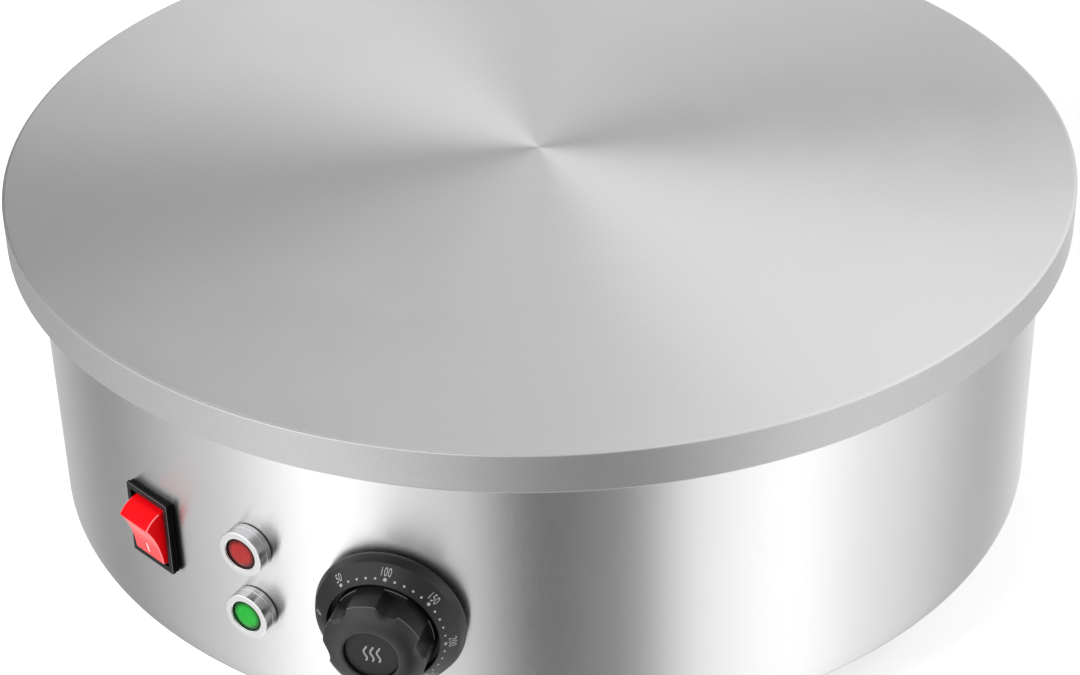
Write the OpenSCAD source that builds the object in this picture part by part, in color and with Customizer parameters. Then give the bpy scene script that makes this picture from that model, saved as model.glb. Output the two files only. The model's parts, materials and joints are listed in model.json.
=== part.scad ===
// Round electric griddle: a thick metal plate on a sheet-metal drum, with a rocker switch,
// two pilot lamps and a thermostat knob on the front, and the heater and controls inside.
// Origin: centre of the base, on the surface that the feet stand on. +Z is up, -Y is the front.

/* [Griddle plate] */
// Diameter of the griddle plate
plate_d = 400; // [392:1:420]
// Height of the plate's edge
plate_edge_h = 15.2; // [12:0.2:18]
// Thickness of the plate inside its rim
plate_web = 10; // [9:0.5:12]
// Height of the shallow bevel on the plate's top edge
plate_bevel_h = 0.5; // [0.4:0.1:1]
// Width of that bevel
plate_bevel_w = 1.2; // [0.6:0.1:2]

/* [Drum] */
// Diameter of the drum
drum_d = 378.8; // [376:0.2:382]
// Height of the drum between its lower edge and the plate
drum_h = 109.8; // [108:0.2:120]
// Thickness of the drum's sheet
sheet = 1.2; // [0.8:0.1:1.5]
// Outer radius of the drum's lower edge
drum_edge_r = 2.5; // [2:0.1:4]
// Gap between the drum and the table, under which the feet stand
ground_gap = 25; // [22:1:35]

/* [Feet] */
// Foot diameter at the floor
foot_d = 34; // [28:1:40]
// Radius of the circle that the feet stand on
foot_circle_r = 150; // [145:1:152]

/* [Rocker switch] */
// Angle of the switch around the drum, from the front; negative is left
switch_angle = -46.4; // [-50:0.1:-44]
// Height of the switch's centre below the plate's top
switch_drop = 75.4; // [70:0.1:80]
// Width of the switch frame
switch_w = 22.4; // [22:0.1:24]
// Height of the switch frame
switch_h = 29.5; // [29:0.1:32]
// How far the rocker tilts to each side
rocker_tilt = 18; // [12:1:20]

/* [Pilot lamps] */
// Angle of the lamps around the drum
lamp_angle = -32.1; // [-34:0.1:-30]
// Height of the red lamp below the plate's top
red_lamp_drop = 62.6; // [60:0.1:65]
// Height of the green lamp below the plate's top
green_lamp_drop = 89.4; // [86:0.1:92]
// Outer radius of a lamp's chrome ring
lamp_ring_r = 8.7; // [8.2:0.1:9.5]
// Reach of a lamp's ring in front of the drum
lamp_reach = 6.5; // [6:0.1:8]

/* [Thermostat knob] */
// Angle of the knob around the drum
knob_angle = -16; // [-18:0.1:-14]
// Height of the knob's axis below the plate's top
knob_drop = 75.6; // [72:0.1:78]
// Radius of the knob's skirt
skirt_r = 26.5; // [26:0.1:28]
// Radius of the knob's grip
grip_r = 17.8; // [17:0.1:18.4]
// Reach of the knob in front of the drum
knob_reach = 24.3; // [23.5:0.1:25]
// Number of finger flutes around the grip
flutes = 6; // [4:1:8]

/* [Hidden] */

$fn = 96;
e = 0.01;

plate_r = plate_d / 2;
drum_r = drum_d / 2;
drum_top = ground_gap + drum_h;
plate_top = drum_top + plate_edge_h;
web_z = plate_top - plate_web;
inner_r = drum_r - sheet;

// Plate underside: the rim is full height outside this radius
rim_inner_r = 178;
boss_h = 4;

// Drum flanges
flange_top_w = 11;
flange_bottom_w = 15;
screw_circle_r = 180;
screw_count = 8;
screw_r = 2;

// Base pan, screwed to the drum's lower flange from below
pan_t = 1.2;
pan_z = ground_gap - pan_t;
pan_r = 184;
vent_w = 4;
vent_l = 34;

// Tie rods that clamp plate, drum and pan
rod_r = 4;
rod_circle_r = 160;
rod_angles = [20, 110, 200, 290];
rod_hole_r = 4.3;
nut_h = 6.5;
rod_tail = 10;

// Heating elements
tube_r = 4;
groove_gap = 0.1;
outer_ring_r = 135;
inner_ring_r = 75;
outer_ring_gap = 20;
inner_ring_gap = 30;
ring_overhang = 5;
leg_r = 3.6;
leg_z = 94;
pin_r = 2;
pin_l = 10;

// Clamp bars under the elements
bar_angles = [45, 135, 225, 315];
bar_from_r = 64;
bar_to_r = 150;
bar_w = 16;
bar_t = 3;
bar_z = web_z - tube_r - bar_t;
stud_r = 3;
stud_circle_r = 105;

// Insulation
tray_z = 104;
tray_t = 1;
tray_r = 172;
tray_rim_h = 14;
blanket_h = 20;
centre_hole_r = 9;

// Foot bolts
foot_bolt_r = 2.5;
foot_seat_z = 12;

// Sensing bulb, clipped under the plate between the two elements
bulb_r = 3;
bulb_l = 84;
bulb_circle_r = 105;
bulb_z = web_z - bulb_r - 0.02;

// Rocker, seen from its side: x points out of the drum from the pivot, y is up
rocker_w = 15.6;
rocker_tip_r = 12.85;
rocker_end_r = 11.3;
rocker_end_x = 2;
rocker_dish_x = 7.75;
rocker_dish_r = 36.8;
rocker_back_x = -2.2;
pivot_s = -1.5;
pivot_r = 1.4;

// Gasket behind a lamp's ring
gasket_t = 0.4;

// Knob, along its axis from the drum's surface
skirt_back_s = 2;
skirt_rim_s = 3.2;
dial_low = [25.5, 6.3];
dial_high = [20, 11.4];
moat_r = 19.7;
moat_s = 7.2;
flute_s = 10.6;
dome_s = 20.6;
recess_r = 9.6;
recess_depth = 1.5;
cap_t = 1;
hub_r = 5.6;
hub_back_s = 2.8;
spindle_r = 3;
spindle_flat = 2;
fit_gap = 0.02;
flute_r = 5.2;
flute_depth = 2.3;
first_flute_angle = 17.6;

// Thermostat behind the drum's wall
bracket_s = -3;
bracket_t = 2;
bush_r = 5;
stat_screw_x = 14;
stat_depth = 26;
stat_tab_x = [-10, 10];
stat_tab_y = [-12, 11];
stat_tab_s = bracket_s - bracket_t - stat_depth - 8;

// Terminal block, earth stud and wire splice: radius and angle around the drum
block_place = [150, 168];
block_size = [44, 20, 18];
earth_place = [150, 150];
earth_r = 2.5;
splice_place = [125, -38, 70];

// Mains inlet at the back
inlet_z = 46;
gland_thread_r = 10;
gland_reach = 17;
gland_bore_r = 4.5;

steel = "silver";
dark_steel = "dimgray";
brass = "goldenrod";
black_plastic = [0.08, 0.08, 0.08];

// Height of something that is "drop" below the plate's top
function below_top(drop) = plate_top - drop;

// A point at an angle around the drum and a radius, with a shift to the right along the wall
function at(angle, r, z, x = 0) =
    [r * sin(angle) + x * cos(angle), x * sin(angle) - r * cos(angle), z];

// Hole that takes the capillary through tray and blanket: radius, and shift to the right
capillary_hole = [105, 50];
capillary_r = 1;
bulb_end_x = bulb_l / 2;
stat_back_r = drum_r + bracket_s - bracket_t - stat_depth;
capillary_path = [
    at(knob_angle, 105, bulb_z, bulb_end_x), at(knob_angle, 105, bulb_z, 50), at(knob_angle, 105, 100, 50),
    at(knob_angle, 108, 84, 50), at(knob_angle, 140, 80, 40), at(knob_angle, 148, 77, 12),
    at(knob_angle, stat_back_r, 77, 12)
];

// Wire ends: the free ends of the switch's, thermostat's and lamps' tabs
switch_tab_x = [-4, 4];
switch_tab_y = [-7, 7];
switch_tab_s = -34;
lamp_tab_x = 2.6;
lamp_tab_s = -28;
function switch_tab(x, y, back = 0) =
    at(switch_angle, drum_r + switch_tab_s - back, below_top(switch_drop) + switch_tab_y[y], switch_tab_x[x]);
function stat_tab(x, y, back = 0) =
    at(knob_angle, drum_r + stat_tab_s - back, below_top(knob_drop) + stat_tab_y[y], stat_tab_x[x]);
function lamp_tab(drop, side, back = 0) =
    at(lamp_angle, drum_r + lamp_tab_s - back, below_top(drop), side * lamp_tab_x);
function heater_pin(r, gap, side) = at(180 + side * gap / 2, r, leg_z - pin_l);
function block_wire(k, back) = at(block_place[1], 144 - back, ground_gap + 6, k * 14);

live_in = [
    block_wire(0, 0), block_wire(0, 20), at(-120, 60, 42), at(-60, 110, 60),
    switch_tab(0, 1, 14), switch_tab(0, 1)
];
neutral_in = [
    block_wire(1, 0), block_wire(1, 24), at(-100, 70, 36), at(-60, 120, 48),
    switch_tab(0, 0, 14), switch_tab(0, 0)
];
earth_in = [block_wire(-1, 0), block_wire(-1, 14), at(150, 125, 37), at(150, 147.3, 37)];
live_to_stat = [switch_tab(1, 1), switch_tab(1, 1, 15), at(-32, 132, 78), stat_tab(0, 0, 13), stat_tab(0, 0)];
stat_to_cutout = [stat_tab(1, 0), stat_tab(1, 0, 13), at(0, 60, 66), [4, 0, 76], [4, 0, 126]];
cutout_to_heater = [
    [-4, 0, 126], [-4, 0, 80], at(170, 60, 66), heater_pin(outer_ring_r, outer_ring_gap, -1) - [0, 0, 16],
    heater_pin(outer_ring_r, outer_ring_gap, -1)
];
neutral_to_splice = [switch_tab(1, 0), switch_tab(1, 0, 11), at(-38, 144, 68, -2.6), at(-38, 132, 68, -2.6)];
splice_to_heater = [
    at(-38, 118, 70), at(-38, 100, 70), at(-80, 80, 56), at(-150, 80, 56),
    heater_pin(outer_ring_r, outer_ring_gap, 1) - [0, 0, 16], heater_pin(outer_ring_r, outer_ring_gap, 1)
];
red_to_splice = [
    lamp_tab(red_lamp_drop, -1), lamp_tab(red_lamp_drop, -1, 11), at(-38, 146, 73), at(-38, 132, 73)
];
green_to_splice = [
    lamp_tab(green_lamp_drop, -1), lamp_tab(green_lamp_drop, -1, 11), at(-38, 144, 68, 2.6), at(-38, 132, 68, 2.6)
];
red_to_stat = [lamp_tab(red_lamp_drop, 1), lamp_tab(red_lamp_drop, 1, 11), stat_tab(0, 1, 12), stat_tab(0, 1)];
green_to_stat = [
    lamp_tab(green_lamp_drop, 1), lamp_tab(green_lamp_drop, 1, 14), at(-24, 118, 56), at(-16, 116, 78, 10),
    stat_tab(1, 1, 14), stat_tab(1, 1)
];

// Short wire that joins the two elements' pins on one side, from pin wall to pin wall
function leg_link(side) =
    let (
        p = heater_pin(outer_ring_r, outer_ring_gap, side) + [0, 0, 4],
        q = heater_pin(inner_ring_r, inner_ring_gap, side) + [0, 0, 4],
        reach = (pin_r + 0.1) * unit(q - p)
    ) [p + reach, q - reach];

// ---- Tubes swept along points ----

function unit(v) = v / norm(v);

// Cuts each inner corner of a path in two, and keeps its ends
function smooth(p) = concat(
    [p[0]],
    [
        for (i = [0 : len(p) - 2])
            each [if (i > 0) 0.75 * p[i] + 0.25 * p[i + 1], if (i < len(p) - 2) 0.25 * p[i] + 0.75 * p[i + 1]]
    ],
    [p[len(p) - 1]]
);

function path_dir(p, i) = unit(p[min(i + 1, len(p) - 1)] - p[max(i - 1, 0)]);

// First direction across the path, then carried along it without twisting
function side_dirs(p, i = 0, last = [1, 0.3, 0.2]) =
    i == len(p) ? [] :
    let (d = path_dir(p, i), side_dir = unit(last - (last * d) * d)) concat([side_dir], side_dirs(p, i + 1, side_dir));

module swept_tube(p, r, sides = 8) {
    n = len(p);
    dirs = side_dirs(p);
    points = [
        for (i = [0 : n - 1], k = [0 : sides - 1])
            let (a = k * 360 / sides)
            p[i] + r * (cos(a) * dirs[i] + sin(a) * cross(path_dir(p, i), dirs[i]))
    ];
    walls = [
        for (i = [0 : n - 2], k = [0 : sides - 1])
            [i * sides + k, (i + 1) * sides + k, (i + 1) * sides + (k + 1) % sides, i * sides + (k + 1) % sides]
    ];
    first = [for (k = [0 : sides - 1]) k];
    last = [for (k = [sides - 1 : -1 : 0]) (n - 1) * sides + k];
    polyhedron(points, concat(walls, [first, last]));
}

// Places children on the drum's wall: x along the wall to the right, y up, z straight out
module on_wall(angle, z) {
    rotate([0, 0, angle]) translate([0, -drum_r, z]) rotate([90, 0, 0]) children();
}

// Places children at a radius and an angle around the drum, from the front
module around(r, angle) {
    rotate([0, 0, angle]) translate([0, -r, 0]) children();
}

module tube(r_out, r_in, h) {
    difference() {
        cylinder(r = r_out, h = h);
        translate([0, 0, -1]) cylinder(r = r_in, h = h + 2);
    }
}

module hex_nut(r_hole, across, h) {
    difference() {
        cylinder(d = across / cos(30), h = h, $fn = 6);
        translate([0, 0, -1]) cylinder(r = r_hole, h = h + 2);
    }
}

// Round-ended slot along x, cut through z
module slot(l, w, h) {
    cube([l - w, w, h], center = true);
    for (side = [-1, 1]) translate([side * (l - w) / 2, 0, 0]) cylinder(d = w, h = h, center = true, $fn = 24);
}

module at_rods() { for (a = rod_angles) around(rod_circle_r, a) children(); }
module at_studs() { for (a = bar_angles) around(stud_circle_r, a) children(); }
module at_feet() { for (a = [45 : 90 : 315]) around(foot_circle_r, a) children(); }
module at_pan_screws() {
    for (k = [0 : screw_count - 1]) around(screw_circle_r, (k + 0.5) * 360 / screw_count) children();
}

// ---- Plate ----

module plate_profile() {
    polygon([
        [0, web_z], [rim_inner_r - 4, web_z], [rim_inner_r, drum_top], [plate_r - 1, drum_top],
        [plate_r, drum_top + 1], [plate_r, plate_top - plate_bevel_h],
        [plate_r - plate_bevel_w, plate_top], [0, plate_top]
    ]);
}

module griddle_plate() {
    color("lightgray") difference() {
        union() {
            rotate_extrude($fn = 256) plate_profile();
            at_rods() translate([0, 0, web_z - boss_h]) cylinder(r = 10, h = boss_h + 1);
        }
        at_rods() translate([0, 0, web_z - boss_h - 1]) cylinder(r = rod_r, h = boss_h + 8);
        at_studs() translate([0, 0, web_z - 1]) cylinder(r = stud_r, h = 8);
        for (r = [outer_ring_r, inner_ring_r])
            rotate_extrude() translate([r, web_z]) circle(r = tube_r + groove_gap, $fn = 48);
    }
}

// ---- Drum and base ----

module drum_profile() {
    translate([inner_r, ground_gap + drum_edge_r]) square([sheet, drum_h - drum_edge_r]);
    translate([drum_r - flange_top_w, drum_top - sheet]) square([flange_top_w, sheet]);
    translate([drum_r - flange_bottom_w, ground_gap]) square([flange_bottom_w - drum_edge_r, sheet]);
    translate([drum_r - drum_edge_r, ground_gap + drum_edge_r]) intersection() {
        difference() {
            circle(r = drum_edge_r);
            circle(r = drum_edge_r - sheet);
        }
        translate([0, -drum_edge_r]) square(drum_edge_r);
    }
}

module drum_shell() {
    color("gainsboro") difference() {
        rotate_extrude($fn = 256) drum_profile();
        on_wall(switch_angle, below_top(switch_drop)) cube([19.6, 27.4, 12], center = true);
        for (drop = [red_lamp_drop, green_lamp_drop])
            on_wall(lamp_angle, below_top(drop)) cylinder(r = 6.2, h = 12, center = true);
        on_wall(knob_angle, below_top(knob_drop)) {
            cylinder(r = bush_r + 0.3, h = 12, center = true);
            for (side = [-1, 1]) translate([side * stat_screw_x, 0, 0]) cylinder(r = 2.2, h = 12, center = true);
        }
        on_wall(180, inlet_z) cylinder(r = gland_thread_r + 0.2, h = 12, center = true);
        at_pan_screws() cylinder(r = screw_r + 0.1, h = ground_gap + 5);
    }
}

// Eight groups of three radial slots
module pan_vents() {
    for (k = [0 : 7], row = [-1 : 1])
        rotate([0, 0, k * 45 + 22.5]) translate([95, row * 11, pan_z]) slot(vent_l, vent_w, 6);
}

module base_pan() {
    color("lightgray") difference() {
        translate([0, 0, pan_z]) cylinder(r = pan_r, h = pan_t, $fn = 256);
        pan_vents();
        at_rods() cylinder(r = rod_hole_r, h = 60);
        at_feet() cylinder(r = foot_bolt_r + 0.2, h = 60);
        at_pan_screws() cylinder(r = screw_r + 0.1, h = 60);
        around(earth_place[0], earth_place[1]) cylinder(r = earth_r + 0.1, h = 60);
    }
}

// Pan-head screw, head down, whose head touches z = 0 from below
module screw_up(r, l, head_r, head_h) {
    cylinder(r = r, h = l);
    translate([0, 0, -head_h]) difference() {
        cylinder(r1 = head_r * 0.8, r2 = head_r, h = head_h);
        translate([0, 0, -e]) cylinder(r = head_r * 0.35, h = head_h * 0.5, $fn = 6);
    }
}

module pan_screws() {
    color(steel) at_pan_screws() translate([0, 0, pan_z]) screw_up(screw_r, 10, 3.8, 2.4);
}

module foot(angle) {
    color([0.12, 0.12, 0.12]) around(foot_circle_r, angle) difference() {
        union() {
            cylinder(d1 = foot_d - 3, d2 = foot_d, h = 1.5);
            translate([0, 0, 1.5]) cylinder(d1 = foot_d, d2 = foot_d - 6, h = pan_z - 1.5);
        }
        translate([0, 0, -1]) cylinder(r = foot_bolt_r + 0.2, h = pan_z + 2);
        translate([0, 0, -1]) cylinder(r = 6.5, h = foot_seat_z + 1);
    }
}
module foot_front_left() { foot(-45); }
module foot_front_right() { foot(45); }
module foot_rear_left() { foot(-135); }
module foot_rear_right() { foot(135); }

module foot_bolts() {
    color(steel) at_feet() translate([0, 0, foot_seat_z])
        screw_up(foot_bolt_r, pan_z + pan_t + 7 - foot_seat_z, 5, 3.5);
}

module foot_nuts() {
    color(steel) at_feet() translate([0, 0, pan_z + pan_t]) hex_nut(foot_bolt_r + 0.05, 8, 4);
}

// ---- Tie rods ----

module tie_rods() {
    rod_z = pan_z - rod_tail;
    color(steel) at_rods() translate([0, 0, rod_z]) cylinder(r = rod_r, h = web_z + 6 - rod_z);
}

// A nut and washer under the pan, and a nut under the heat tray, on each rod
module tie_nuts() {
    color(steel) at_rods() {
        translate([0, 0, pan_z - nut_h - 1.6]) hex_nut(rod_r + 0.05, 13, nut_h);
        translate([0, 0, pan_z - 1.6]) tube(9, rod_r + 0.05, 1.6);
        translate([0, 0, tray_z - nut_h]) hex_nut(rod_r + 0.05, 13, nut_h);
    }
}

// ---- Heater ----

// Open ring of round tube with a leg down from each end, and a bare terminal pin on each leg
module heating_ring(r, gap) {
    arc_gap = gap - 2 * asin(ring_overhang / r);
    translate([0, 0, web_z]) rotate([0, 0, 90 + arc_gap / 2]) rotate_extrude(angle = 360 - arc_gap)
        translate([r, 0]) circle(r = tube_r, $fn = 48);
    for (side = [-1, 1]) around(r, 180 + side * gap / 2) {
        translate([0, 0, leg_z]) cylinder(r = leg_r, h = web_z - leg_z);
        translate([0, 0, leg_z - pin_l]) cylinder(r = pin_r, h = pin_l + 1);
    }
}
module heating_element_outer() { color(dark_steel) heating_ring(outer_ring_r, outer_ring_gap); }
module heating_element_inner() { color(dark_steel) heating_ring(inner_ring_r, inner_ring_gap); }

module at_legs() {
    for (ring = [[outer_ring_r, outer_ring_gap], [inner_ring_r, inner_ring_gap]], side = [-1, 1])
        around(ring[0], 180 + side * ring[1] / 2) children();
}

// Ceramic bushes that carry the legs through the heat tray
module element_bushes() {
    color("ivory") at_legs() translate([0, 0, tray_z - 5]) {
        tube(5.8, leg_r + 0.05, 11);
        tube(8, leg_r + 0.05, 5);
    }
}

module clamp_bars() {
    color(steel) for (a = bar_angles) rotate([0, 0, a]) difference() {
        translate([-bar_w / 2, -bar_to_r, bar_z]) cube([bar_w, bar_to_r - bar_from_r, bar_t]);
        translate([0, -stud_circle_r, bar_z - 1]) cylinder(r = stud_r + 0.2, h = bar_t + 2);
    }
}

module clamp_studs() {
    color(steel) at_studs() translate([0, 0, bar_z - 6.5]) cylinder(r = stud_r, h = web_z + 6 - bar_z + 6.5);
}

module clamp_nuts() {
    color(steel) at_studs() translate([0, 0, bar_z - 5]) hex_nut(stud_r + 0.05, 10, 5);
}

module insulation_blanket() {
    z = tray_z + tray_t;
    color("beige") difference() {
        translate([0, 0, z]) cylinder(r = tray_r - tray_t - 1, h = blanket_h, $fn = 192);
        at_rods() translate([0, 0, z - 1]) cylinder(r = rod_r + 1, h = blanket_h + 2);
        at_legs() translate([0, 0, z - 1]) cylinder(r = 6.5, h = blanket_h + 2);
        at_capillary_hole() translate([0, 0, z - 1]) cylinder(r = 4, h = blanket_h + 2);
        translate([0, 0, z - 1]) cylinder(r = centre_hole_r, h = blanket_h + 2);
    }
}

module heat_tray() {
    color(steel) difference() {
        translate([0, 0, tray_z]) union() {
            cylinder(r = tray_r, h = tray_t, $fn = 192);
            tube(tray_r, tray_r - tray_t, tray_rim_h, $fn = 192);
        }
        at_rods() translate([0, 0, tray_z - 1]) cylinder(r = rod_hole_r, h = tray_t + 2);
        at_legs() translate([0, 0, tray_z - 1]) cylinder(r = 6, h = tray_t + 2);
        at_capillary_hole() translate([0, 0, tray_z - 1]) cylinder(r = 4, h = tray_t + 2);
        translate([0, 0, tray_z - 1]) cylinder(r = centre_hole_r, h = tray_t + 2);
    }
}

// ---- Rocker switch ----

module rocker_outline() {
    difference() {
        intersection() {
            translate([rocker_end_x, 0]) circle(r = rocker_end_r, $fn = 64);
            circle(r = rocker_tip_r, $fn = 64);
            translate([rocker_back_x, -20]) square([20, 40]);
        }
        translate([rocker_dish_x + rocker_dish_r, 0]) circle(r = rocker_dish_r, $fn = 128);
    }
}

// Puts an outline drawn as [out of the drum, up] across the switch, centred on its width
module across_switch(w) {
    rotate([0, -90, 0]) linear_extrude(w, center = true) children();
}

module switch_rocker() {
    color("red") on_wall(switch_angle, below_top(switch_drop)) translate([0, 0, pivot_s]) {
        rotate([rocker_tilt, 0, 0]) across_switch(rocker_w) rocker_outline();
        rotate([0, 90, 0]) cylinder(r = pivot_r, h = rocker_w + 2.6, center = true, $fn = 32);
    }
}

module switch_frame() {
    wall_w = 19.2;
    wall_h = 27;
    wall_back_s = -14;
    color(black_plastic) on_wall(switch_angle, below_top(switch_drop)) difference() {
        union() {
            translate([-switch_w / 2 + 0.2, -switch_h / 2 + 0.15, 0]) cube([switch_w - 0.4, switch_h - 0.3, 1.2]);
            translate([-switch_w / 2 + 0.6, -switch_h / 2 + 0.6, 0]) cube([switch_w - 1.2, switch_h - 1.2, 2]);
            translate([-switch_w / 2, -switch_h / 2, 1.6]) cube([switch_w, switch_h, 1.4]);
            translate([-wall_w / 2, -wall_h / 2, wall_back_s]) cube([wall_w, wall_h, -wall_back_s]);
            for (side = [-1, 1]) translate([0, side * (wall_h / 2 + 0.5), -4.5]) cube([8, 1.2, 4], center = true);
        }
        translate([-9.2, -12.4, 1]) cube([18.4, 24.8, 5]);
        translate([-8.1, -12.4, wall_back_s - 1]) cube([16.2, 24.8, 20]);
        translate([0, 0, pivot_s]) rotate([0, 90, 0])
            cylinder(r = pivot_r + 0.04, h = 19 - 0.4, center = true, $fn = 32);
    }
}

module switch_base() {
    color(black_plastic) on_wall(switch_angle, below_top(switch_drop)) difference() {
        translate([-9.6, -13.5, -24]) cube([19.2, 27, 10]);
        translate([-7, -11, -18]) cube([14, 22, 10]);
    }
}

module switch_terminals() {
    color(brass) on_wall(switch_angle, below_top(switch_drop))
        for (x = switch_tab_x, y = switch_tab_y) translate([x - 0.4, y - 3.15, switch_tab_s]) difference() {
            cube([0.8, 6.3, 10]);
            translate([-1, 3.15, 3]) rotate([0, 90, 0]) cylinder(r = 0.9, h = 3, $fn = 24);
        }
}

// ---- Pilot lamps ----

module lamp_ring(drop) {
    color("whitesmoke") on_wall(lamp_angle, below_top(drop)) rotate_extrude() difference() {
        translate([6.1, gasket_t]) square([lamp_ring_r - 6.1, lamp_reach - gasket_t]);
        translate([lamp_ring_r, 2.6]) circle(r = 0.25, $fn = 16);
        translate([lamp_ring_r, lamp_reach]) rotate(45) square(0.5, center = true);
    }
}

module lamp_lens(drop, shade) {
    color(shade) on_wall(lamp_angle, below_top(drop)) {
        translate([0, 0, 4.6]) cylinder(r = 6, h = lamp_reach - 5.4);
        translate([0, 0, lamp_reach - 0.8]) intersection() {
            cylinder(r = 6, h = 4);
            translate([0, 0, 0.8 - 22.4]) sphere(r = 22.4);
        }
    }
}

module lamp_body(drop) {
    color(black_plastic) on_wall(lamp_angle, below_top(drop)) {
        difference() {
            translate([0, 0, -20]) cylinder(r = 6, h = 24.6);
            translate([0, 0, -18]) cylinder(r = 4.8, h = 24);
        }
        for (side = [-1, 1]) translate([side * lamp_tab_x - 0.4, -1.4, lamp_tab_s]) cube([0.8, 2.8, 8.5]);
    }
}

module lamp_nut(drop) {
    color(steel) on_wall(lamp_angle, below_top(drop)) translate([0, 0, -4.6]) hex_nut(6.05, 15, 3);
}

module lamp_gasket(drop) {
    color(black_plastic) on_wall(lamp_angle, below_top(drop)) tube(8.1, 6.1, gasket_t);
}

module red_lamp_ring() { lamp_ring(red_lamp_drop); }
module red_lamp_lens() { lamp_lens(red_lamp_drop, "firebrick"); }
module red_lamp_body() { lamp_body(red_lamp_drop); }
module red_lamp_nut() { lamp_nut(red_lamp_drop); }
module red_lamp_gasket() { lamp_gasket(red_lamp_drop); }
module green_lamp_ring() { lamp_ring(green_lamp_drop); }
module green_lamp_lens() { lamp_lens(green_lamp_drop, "limegreen"); }
module green_lamp_body() { lamp_body(green_lamp_drop); }
module green_lamp_nut() { lamp_nut(green_lamp_drop); }
module green_lamp_gasket() { lamp_gasket(green_lamp_drop); }

// ---- Thermostat knob ----

module on_knob() { on_wall(knob_angle, below_top(knob_drop)) children(); }

// Dome of the grip: an arc from the grip's edge that comes out level at the recess
dome_steps = 8;
dome_in_r = recess_r + 0.4;
dome_w = grip_r - dome_in_r;
dome_h = knob_reach - dome_s;
dome_r = (dome_w * dome_w + dome_h * dome_h) / (2 * dome_h);
dome_points = [
    for (k = [0 : dome_steps])
        let (a = asin(dome_w / dome_r) * (1 - k / dome_steps))
        [dome_in_r + dome_r * sin(a), knob_reach - dome_r * (1 - cos(a))]
];

module knob_outline() {
    polygon(concat(
        [[0, skirt_back_s], [skirt_r - 0.3, skirt_back_s], [skirt_r, skirt_back_s + 0.3]],
        [[skirt_r, skirt_rim_s], dial_low, dial_high],
        [[moat_r, dial_high[1]], [moat_r, moat_s], [grip_r, moat_s]],
        dome_points,
        [[recess_r, knob_reach - 0.3], [recess_r, knob_reach - recess_depth - cap_t]],
        [[0, knob_reach - recess_depth - cap_t]]
    ));
}

// Space under the skirt, behind the groove around the grip, and inside the grip around the hub
module knob_hollow() {
    polygon([
        [hub_r, 0], [dial_low[0] - 1.2, 0], [dial_low[0] - 1.2, dial_low[1] - 1.4],
        [moat_r + 1.4, dial_high[1] - 3.4], [moat_r + 1.4, moat_s - 1.6], [grip_r - 4.4, moat_s - 1.6],
        [grip_r - 4.4, dome_s - 2], [grip_r - 6, dome_s - 1], [hub_r, dome_s - 1]
    ]);
}

module knob_body() {
    color(black_plastic) on_knob() difference() {
        rotate_extrude($fn = 128) difference() {
            knob_outline();
            knob_hollow();
            square([hub_r, hub_back_s]);
        }
        for (k = [0 : flutes - 1]) rotate([0, 0, -(first_flute_angle + k * 360 / flutes)])
            translate([0, grip_r - flute_depth + flute_r, flute_s]) cylinder(r = flute_r, h = 20, $fn = 48);
        translate([0, 0, -1]) cylinder(r = spindle_r + fit_gap, h = 18);
    }
}

module knob_cap() {
    color([0.2, 0.2, 0.2]) on_knob() translate([0, 0, knob_reach - recess_depth - cap_t])
        cylinder(r = recess_r - 0.1, h = cap_t);
}

// Leaf spring between the spindle's flat and the hub
module knob_spring() {
    color(steel) on_knob() translate([-1.6, -spindle_flat - 0.55, 5]) cube([3.2, 0.5, 10]);
}

module thermostat_spindle() {
    color(steel) on_knob() difference() {
        translate([0, 0, -12]) cylinder(r = spindle_r, h = 28.5);
        translate([-5, -5 - spindle_flat, 3]) cube([10, 5, 20]);
    }
}

module thermostat_body() {
    color("gray") on_knob() difference() {
        union() {
            translate([-20, -18, bracket_s - bracket_t - stat_depth]) cube([40, 36, stat_depth]);
            translate([0, 0, bracket_s - bracket_t - 1]) cylinder(r = bush_r, h = 7.6);
            for (x = stat_tab_x, y = stat_tab_y)
                translate([x - 0.4, y - 3.15, stat_tab_s]) cube([0.8, 6.3, 9]);
        }
        translate([0, 0, -13]) cylinder(r = spindle_r + 0.05, h = 30);
    }
}

module thermostat_bracket() {
    color(steel) on_knob() difference() {
        translate([-21, -9, bracket_s - bracket_t]) cube([42, 18, bracket_t]);
        translate([0, 0, -20]) cylinder(r = bush_r + 0.05, h = 30);
        for (side = [-1, 1]) translate([side * stat_screw_x, 0, -20]) cylinder(r = 2.05, h = 30);
    }
}

// Screws through the drum into the bracket, hidden under the knob's skirt
module thermostat_screws() {
    color(steel) on_knob() for (side = [-1, 1]) translate([side * stat_screw_x, 0, 0]) {
        translate([0, 0, bracket_s - bracket_t]) cylinder(r = 2, h = 5);
        cylinder(r = 3.6, h = 1.6);
    }
}

// ---- Sensing bulb and capillary ----

module at_capillary_hole() { around(capillary_hole[0], knob_angle) translate([capillary_hole[1], 0, 0]) children(); }

module sensing_bulb() {
    color("sandybrown") around(bulb_circle_r, knob_angle) translate([0, 0, bulb_z])
        rotate([0, 90, 0]) cylinder(r = bulb_r, h = bulb_l, center = true, $fn = 48);
}

// Strap under the bulb with a screw on each side, drawn in line with the plate's underside
module bulb_clip() {
    difference() {
        translate([-5, -9, -8]) cube([10, 18, 8 - e]);
        rotate([0, 90, 0]) translate([bulb_r + 0.02, 0, 0])
            cylinder(r = bulb_r + 0.05, h = 20, center = true, $fn = 48);
        translate([-10, -bulb_r - 0.05, -bulb_r]) cube([20, 2 * bulb_r + 0.1, 5]);
        for (side = [-1, 1]) translate([-6, side * 9 - 2.5, -9]) cube([12, 5, 7]);
    }
}

module bulb_clips() {
    color(steel) around(bulb_circle_r, knob_angle) for (side = [-1, 1])
        translate([side * 26, 0, web_z]) bulb_clip();
}

module capillary_tube() { color("peru") swept_tube(smooth(smooth(capillary_path)), capillary_r); }

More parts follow.
